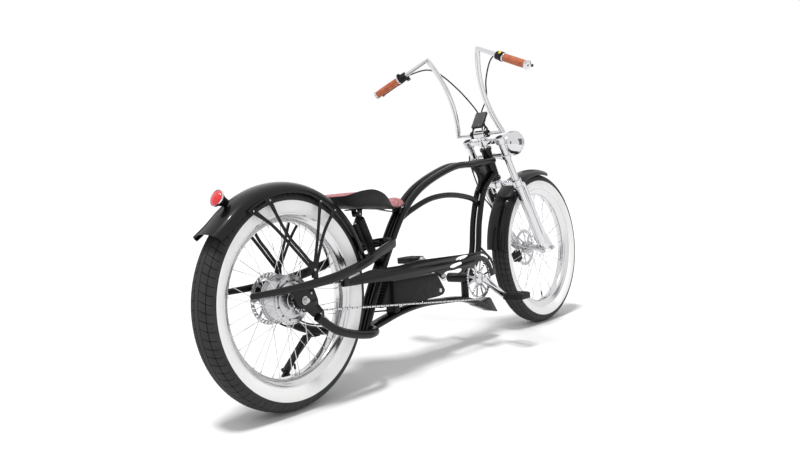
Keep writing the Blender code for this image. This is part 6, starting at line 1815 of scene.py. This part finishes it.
def station(x):
    # the saddle's measures at x, on smooth curves between the stations
    rows = saddle["stations"]
    x = min(max(x, rows[0][0]), rows[-1][0])
    i = 0
    while i < len(rows) - 2 and rows[i + 1][0] < x:
        i += 1
    a, b, c, d = (rows[min(max(i + k, 0), len(rows) - 1)] for k in (-1, 0, 1, 2))
    t = (x - b[0]) / (c[0] - b[0])
    made = []
    for k in range(1, 5):
        bend = (2 * a[k] - 5 * b[k] + 4 * c[k] - d[k]) * t**2 + (3 * b[k] - a[k] - 3 * c[k] + d[k]) * t**3
        made.append(0.5 * (2 * b[k] + (c[k] - a[k]) * t + bend))
    return made


def saddleForm(shape, segments=48, rings=64):
    # draws a sphere out into the leather cushion, or into the open shell that holds it
    clearSelection()
    bpy.ops.mesh.primitive_uv_sphere_add(segments=segments, ring_count=rings, radius=1, location=(0, 0, 0))
    obj = bpy.context.object
    cushion = shape == "cushion"
    first = saddle["stations"][0][0] - (0.002 if cushion else 0.005)
    last = saddle["stations"][-1][0] + 0.003 if cushion else saddle["shellEnd"]
    for vert in obj.data.vertices:
        share = math.acos(max(-1.0, min(1.0, -vert.co.z))) / math.pi
        around = math.atan2(vert.co.y, vert.co.x)
        x = first + (last - first) * share
        half, top, rim, under = station(x)
        nearEnd = min(1.0, (x - first) / 0.010, (last - x) / 0.010)
        close = math.sqrt(max(0.0, 1 - (1 - max(nearEnd, 0.0)) ** 2))
        c = abs(math.cos(around))
        s = math.sin(around)
        if cushion:
            width = (half - saddle["wall"] * (1 - easeIn(x, 0.40, 0.50))) * c**0.85
            seam = rim - 0.0020
            crown = (1 - c**1.7) * (1 - easeIn(x, 0.40, 0.50)) + max(s, 0.0) ** 0.75 * easeIn(x, 0.40, 0.50)
            z = seam + (top - seam) * close * crown if s > 0 else seam - (rim - under) * 0.40 * close * (-s)
        elif s > 0:
            width = half * c**0.7
            z = rim - (rim - under) * 0.48 * easeIn(1 - c, 0.03, 0.22) * close
        else:
            width = half * c**0.7 * (1 + 0.16 * s)
            hollow = saddle["recess"] * max(0.0, 1 - (width / (0.55 * half)) ** 2)
            z = rim - (rim - under) * close * (-s) ** 0.75 + hollow * close * (-s)
        vert.co = (x, math.copysign(width * close, math.cos(around)), z)
    return closeShape(obj, 0.00005)


def stuff(obj):
    # swells the cushion like a filled cover, by no more than the cap
    shrink = obj.modifiers.new("remesh", "REMESH")
    shrink.mode = "VOXEL"
    shrink.voxel_size = saddle["voxel"]
    clearSelection()
    obj.select_set(True)
    bpy.context.view_layer.objects.active = obj
    bpy.ops.object.modifier_apply(modifier="remesh")
    for vert in obj.data.vertices:
        vert.co -= vert.normal * saddle["inset"]
    start = [vert.co.copy() for vert in obj.data.vertices]
    pins = obj.vertex_groups.new(name="pinned")
    pins.add([vert.index for vert in obj.data.vertices if vert.normal.z < -0.5], 1.0, "REPLACE")
    cloth = obj.modifiers.new("cover", "CLOTH")
    for setting, level in saddle["cover"].items():
        setattr(cloth.settings, setting, level)
    cloth.settings.effector_weights.gravity = 0
    cloth.collision_settings.use_collision = False
    scene = bpy.context.scene
    for number in range(1, 21):
        scene.frame_set(number)
    bpy.ops.object.modifier_apply(modifier="cover")
    scene.frame_set(1)
    for vert, home in zip(obj.data.vertices, start):
        move = vert.co - home
        if move.length > saddle["mostSwell"]:
            vert.co = home + move.normalized() * saddle["mostSwell"]
    finer = obj.modifiers.new("finer", "SUBSURF")
    finer.levels = 1
    finer.render_levels = 1
    bpy.ops.object.modifier_apply(modifier="finer")


def seatStitches(cushion):
    # a row of stitches along each side, laid on the cushion from above
    first = saddle["stations"][0][0] + 0.016
    last = saddle["stations"][-1][0] - 0.016
    spots = []
    for sign in (-1, 1):
        line = []
        for i in range(121):
            x = first + (last - first) * i / 120
            line.append(Vector((x, sign * max(station(x)[0] - saddle["seamInset"], 0.002), 0)))
        spots += smoothPath(line, 60)
    matrices = []
    for here, following in zip(spots, spots[1:]):
        hit, place, normal, _ = cushion.ray_cast(Vector((here.x, here.y, 1.0)), Vector((0, 0, -1)))
        if not hit or (following - here).length > 0.03:
            continue
        along = (following - here).normalized()
        along = (along - normal * along.dot(normal)).normalized()
        matrices.append(axisTurn(place + normal * 0.0001, along))
    stitch = rod((0, 0, 0), (0, 0, 0.0042), 0.00055, "rose", edge=0.0001, steps=6)
    return copies(stitch, matrices)


def seatPiping():
    start = saddle["stations"][0][0] - 0.002
    length = saddle["stations"][-1][0] - saddle["stations"][0][0] + 0.002
    piping = []
    for i in range(49):
        x = start + length * i / 48
        half, _, rim, _ = station(x)
        piping.append(Vector((x, half * (0.985 if i else 0.8), rim + 0.0004)))
    outline = smoothPath(piping + mirrored(reversed(piping)), 160, cyclic=True)
    return tube(outline, saddle["piping"], "shell", cyclic=True, resolution=3)


def makeSeat():
    cushion = saddleForm("cushion")
    stuff(cushion)
    paint(cushion, "rose")
    stitches = seatStitches(cushion)
    piping = seatPiping()
    seat = settle("seatCushionFine", [cushion] + stitches, "seat", ["seat_cushion"], 60)

    shell = paint(saddleForm("shell", 48, 56), "shell")
    settle("seatShellFine", [shell, piping], "seat", ["seat_shell"], 50)

    x, z = pivots["seat"]
    line = [(x, z), *saddle["rail"]]
    parts = [tube(smoothPath(inPlane(line), 40), 0, "gloss", oval=(0.012, 0.0025))]
    parts.append(ring((x, 0, z), (0, 1, 0), 0.0038, 0.0085, 0.0145, "gloss", 0.001, 32))
    parts.append(rod((x, -0.024, z), (x, 0.024, z), 0.004, "steel", steps=16))
    for sign in (-1, 1):
        parts.append(capScrew((x, sign * 0.0206, z), (0, sign, 0), 0.0062))
    x, z = pivots["damperHigh"]
    ear = arc((x, z), 0.011, 180, 360, 16) + [(x + 0.014, 0.2765), (x - 0.014, 0.2765)]
    for sign in (-1, 1):
        hole = circle((x, z), 0.0056, 16)
        parts.append(plate(ear, *onFlank(sign, 0.0125, 0.0165), "gloss", [hole], 0.0006))
    parts.append(box((x - 0.014, -0.0165, 0.2715), (x + 0.014, 0.0165, 0.2765), "gloss"))
    settle("seatRailFine", parts, "seat", ["seat_rail"])


# Damper under the seat

damper = {"radius": 0.0165, "shaft": 0.007, "sleeve": 0.0200, "head": 0.0200, "reservoir": 0.0110}


def makeDamper():
    low, high = inPlane([pivots["damperLow"], pivots["damperHigh"]])
    axis = (high - low).normalized()
    length = (high - low).length
    r = damper["radius"]
    bore = damper["shaft"] + 0.0006
    outline = [(0, 0.004), (0.010, 0.004), (0.0150, 0.012), (r, 0.018), (r, 0.026), (r - 0.0012, 0.027)]
    outline += [(r - 0.0012, 0.029), (r, 0.030), (r, length * 0.50), (r - 0.0010, length * 0.505)]
    outline += [(r - 0.0010, length * 0.515), (r, length * 0.52), (r, length * 0.55), (r - 0.0040, length * 0.57)]
    outline += [(bore, length * 0.57), (bore, 0.022), (0, 0.022)]
    parts = [lathe(outline, low, axis, 48, "satin")]
    parts.append(ring(low, (0, 1, 0), 0.0040, 0.0100, 0.0145, "satin", 0.0010, 32))
    parts.append(rod(low - Vector((0, 0.024, 0)), low + Vector((0, 0.024, 0)), 0.004, "steel", steps=16))
    for sign in (-1, 1):
        parts.append(capScrew(low + Vector((0, sign * 0.0206, 0)), (0, sign, 0), 0.0062))
    settle("damperBodyFine", parts, "shock_tilt", ["shock_body"])

    s = damper["shaft"]
    head = damper["head"]
    sections = [(0, 0.36), (s, 0.36), (s, 0.735), (0.0150, 0.74), (0.0180, 0.75), (head, 0.775), (head, 0.80)]
    sections += [(0.0190, 0.805), (0.0190, 0.815), (head, 0.82), (head, 0.87), (0.0150, 0.91), (0.0080, 0.95)]
    sections.append((0, 0.95))
    parts = [lathe([(radius, length * share) for radius, share in sections], low, axis, 48, "satin")]
    sleeve = damper["sleeve"]
    bore = r + 0.0007
    outline = [(bore, length * 0.36), (sleeve - 0.0010, length * 0.36), (sleeve, length * 0.366)]
    for i in range(3):
        at = length * (0.40 + 0.035 * i)
        outline += [(sleeve, at), (sleeve - 0.0012, at + 0.0007), (sleeve - 0.0012, at + 0.0027)]
        outline.append((sleeve, at + 0.0034))
    outline += [(sleeve, length * 0.76), (sleeve - 0.0016, length * 0.775), (0.0150, length * 0.775)]
    outline.append((bore, length * 0.740))
    parts.append(lathe(outline, low, axis, 48, "satin"))
    side = low + Vector((-axis.z, 0, axis.x)) * (r + 0.0125)
    wide = damper["reservoir"]
    sections = [(0, 0.42), (0.0085, 0.425), (0.0105, 0.44), (wide, 0.46), (wide, 0.50), (0.0104, 0.505)]
    sections += [(0.0104, 0.515), (wide, 0.52), (wide, 0.83), (0.0098, 0.85), (0.0040, 0.86), (0, 0.86)]
    parts.append(lathe([(radius, length * share) for radius, share in sections], side, axis, 32, "satin"))
    parts.append(rod(low + axis * (length * 0.82), side + axis * (length * 0.82), 0.0075, "satin"))
    parts.append(ring(high, (0, 1, 0), 0.0035, 0.0095, 0.0110, "satin", 0.0010, 32))
    parts.append(rod(high - Vector((0, 0.0160, 0)), high + Vector((0, 0.0160, 0)), 0.0040, "steel", steps=16))
    knob = [(0, 0), (0.0060, 0), (0.0062, 0.0010), (0.0062, 0.0050), (0.0050, 0.0062), (0, 0.0062)]
    parts.append(lathe(knob, side + axis * (length * 0.855), axis, 16, "steel"))
    settle("damperShaftFine", parts, "shock_slide", ["shock_shaft"])


# Kickstand and cables


cables = {
    # the routes' points, which are part.py's
    "frontUpper": [(1.150, 0.175, 0.868), (1.180, 0.130, 0.845), (1.225, 0.080, 0.780), (1.275, 0.045, 0.710)],
    "intoStem": [(1.312, 0.024, 0.650), (1.324, 0.018, 0.600), (1.318, 0.016, 0.545)],
    "downFork": [
        (1.318, 0.012, 0.650), (1.335, 0.010, 0.590), (1.345, 0.040, 0.545), (1.345, 0.090, 0.500),
        (1.350, 0.114, 0.450), (1.372, 0.115, 0.390), (1.400, 0.112, 0.325), (1.425, 0.100, 0.265),
        (1.458, 0.083, 0.212), (1.512, 0.082, 0.120), (1.560, 0.082, 0.038), (1.592, 0.076, 0.004),
    ],
    "rearLower": [
        (0.560, 0.031, -0.130), (0.480, 0.048, -0.124), (0.400, 0.076, -0.126), (0.310, 0.095, -0.140),
        (0.240, 0.096, -0.133), (0.180, 0.096, -0.116), (0.135, 0.096, -0.088), (0.117, 0.088, -0.055),
        (0.113, 0.076, -0.025),
    ],
    "motor": [
        (0, 0.1140, 0), (0, 0.1250, 0), (0.003, 0.1305, -0.012), (0.014, 0.1310, -0.040), (0.060, 0.1310, -0.086),
        (0.110, 0.1310, -0.116), (0.143, 0.1275, -0.1265), (0.152, 0.1200, -0.128), (0.152, 0.1110, -0.128),
    ],
    "brakeRadius": 0.0031,
    "motorRadius": 0.0035,
    "clips": (0.30, 0.62),
}


def makeCables():
    starts = {}
    for side in ("left", "right"):
        _, ahead, _ = leverFrame(side)
        start = gripPlace(side, bars["leverInward"] + 0.0086) + ahead * 0.027
        starts[side] = [start, start - gripAxis(side) * 0.018]
    upper = starts["left"] + cables["frontUpper"] + cables["intoStem"]
    front = starts["right"] + mirrored(cables["frontUpper"]) + cables["downFork"]
    thin = cables["brakeRadius"]
    for node, body, count, radius, route, finish, clips in (
        ("rear_brake_cable_upper", "steering", 90, thin, upper, "steel", cables["clips"]),
        ("front_brake_cable", "steering", 180, thin, front, "steel", cables["clips"]),
        ("rear_brake_cable_lower", "frame", 80, thin, cables["rearLower"], "steel", ()),
        ("motor_cable", "frame", 80, cables["motorRadius"], cables["motor"], "cable", ()),
    ):
        path = smoothPath(route, count)
        parts = [tube(path, radius, "cable", resolution=4)]
        for end, following in ((path[0], path[1]), (path[-1], path[-2])):
            along = (following - end).normalized()
            parts.append(rod(end, end + along * 0.012, radius + 0.0009, finish, edge=0.0005, steps=16))
        for share in clips:
            at = int(count * share)
            along = (path[at + 1] - path[at]).normalized()
            parts.append(ring(path[at], along, radius - 0.0002, radius + 0.0011, 0.0022, "satin", 0.0004, 16))
        settle(node + "Fine", parts, body, [node], 50)


def makeKickstand():
    # a broad leg and its foot block, round the slim one that carries the load
    core = moveMesh(cadCopy("kickstand", "gloss", 0.0010), bikePlace.inverted())
    low = min((vert.co for vert in core.data.vertices), key=lambda spot: (bikePlace @ spot).z).copy()
    top = Vector(kickstand["pivot"])
    length = (low - top).length
    along = (low - top).normalized()
    across = along.cross(Vector((0, 1, 0))).normalized()
    turn = Matrix((across, across.cross(along) * -1, along)).transposed().to_4x4()
    place = Matrix.Translation(top) @ turn
    wide, narrow = kickstand["widths"]
    leg = [(-wide, 0.020), (wide, 0.014), (narrow * 1.1, length * 0.50), (narrow * 1.5, length * 0.53)]
    leg += [(narrow, length * 0.60), (narrow, length * 0.88), (-narrow, length * 0.88)]
    leg.append((-narrow * 1.2, length * 0.55))
    foot = [(-narrow * 1.3, length * 0.83), (narrow * 1.5, length * 0.83), (narrow * 1.5, length - 0.026)]
    foot.append((-narrow * 1.3, length - 0.026))
    parts = [core]
    for outline, half in ((leg, 0.0065), (foot, 0.0100)):
        parts.append(moveMesh(plate(rounded(outline, 0.004, 3), -half, half, "gloss", edge=0.0012), place))
    settle("kickstandFine", parts, "kickstand", ["kickstand"])


makeSeat()
makeDamper()
makeCables()
makeKickstand()
print("seat, damper and cables are made")
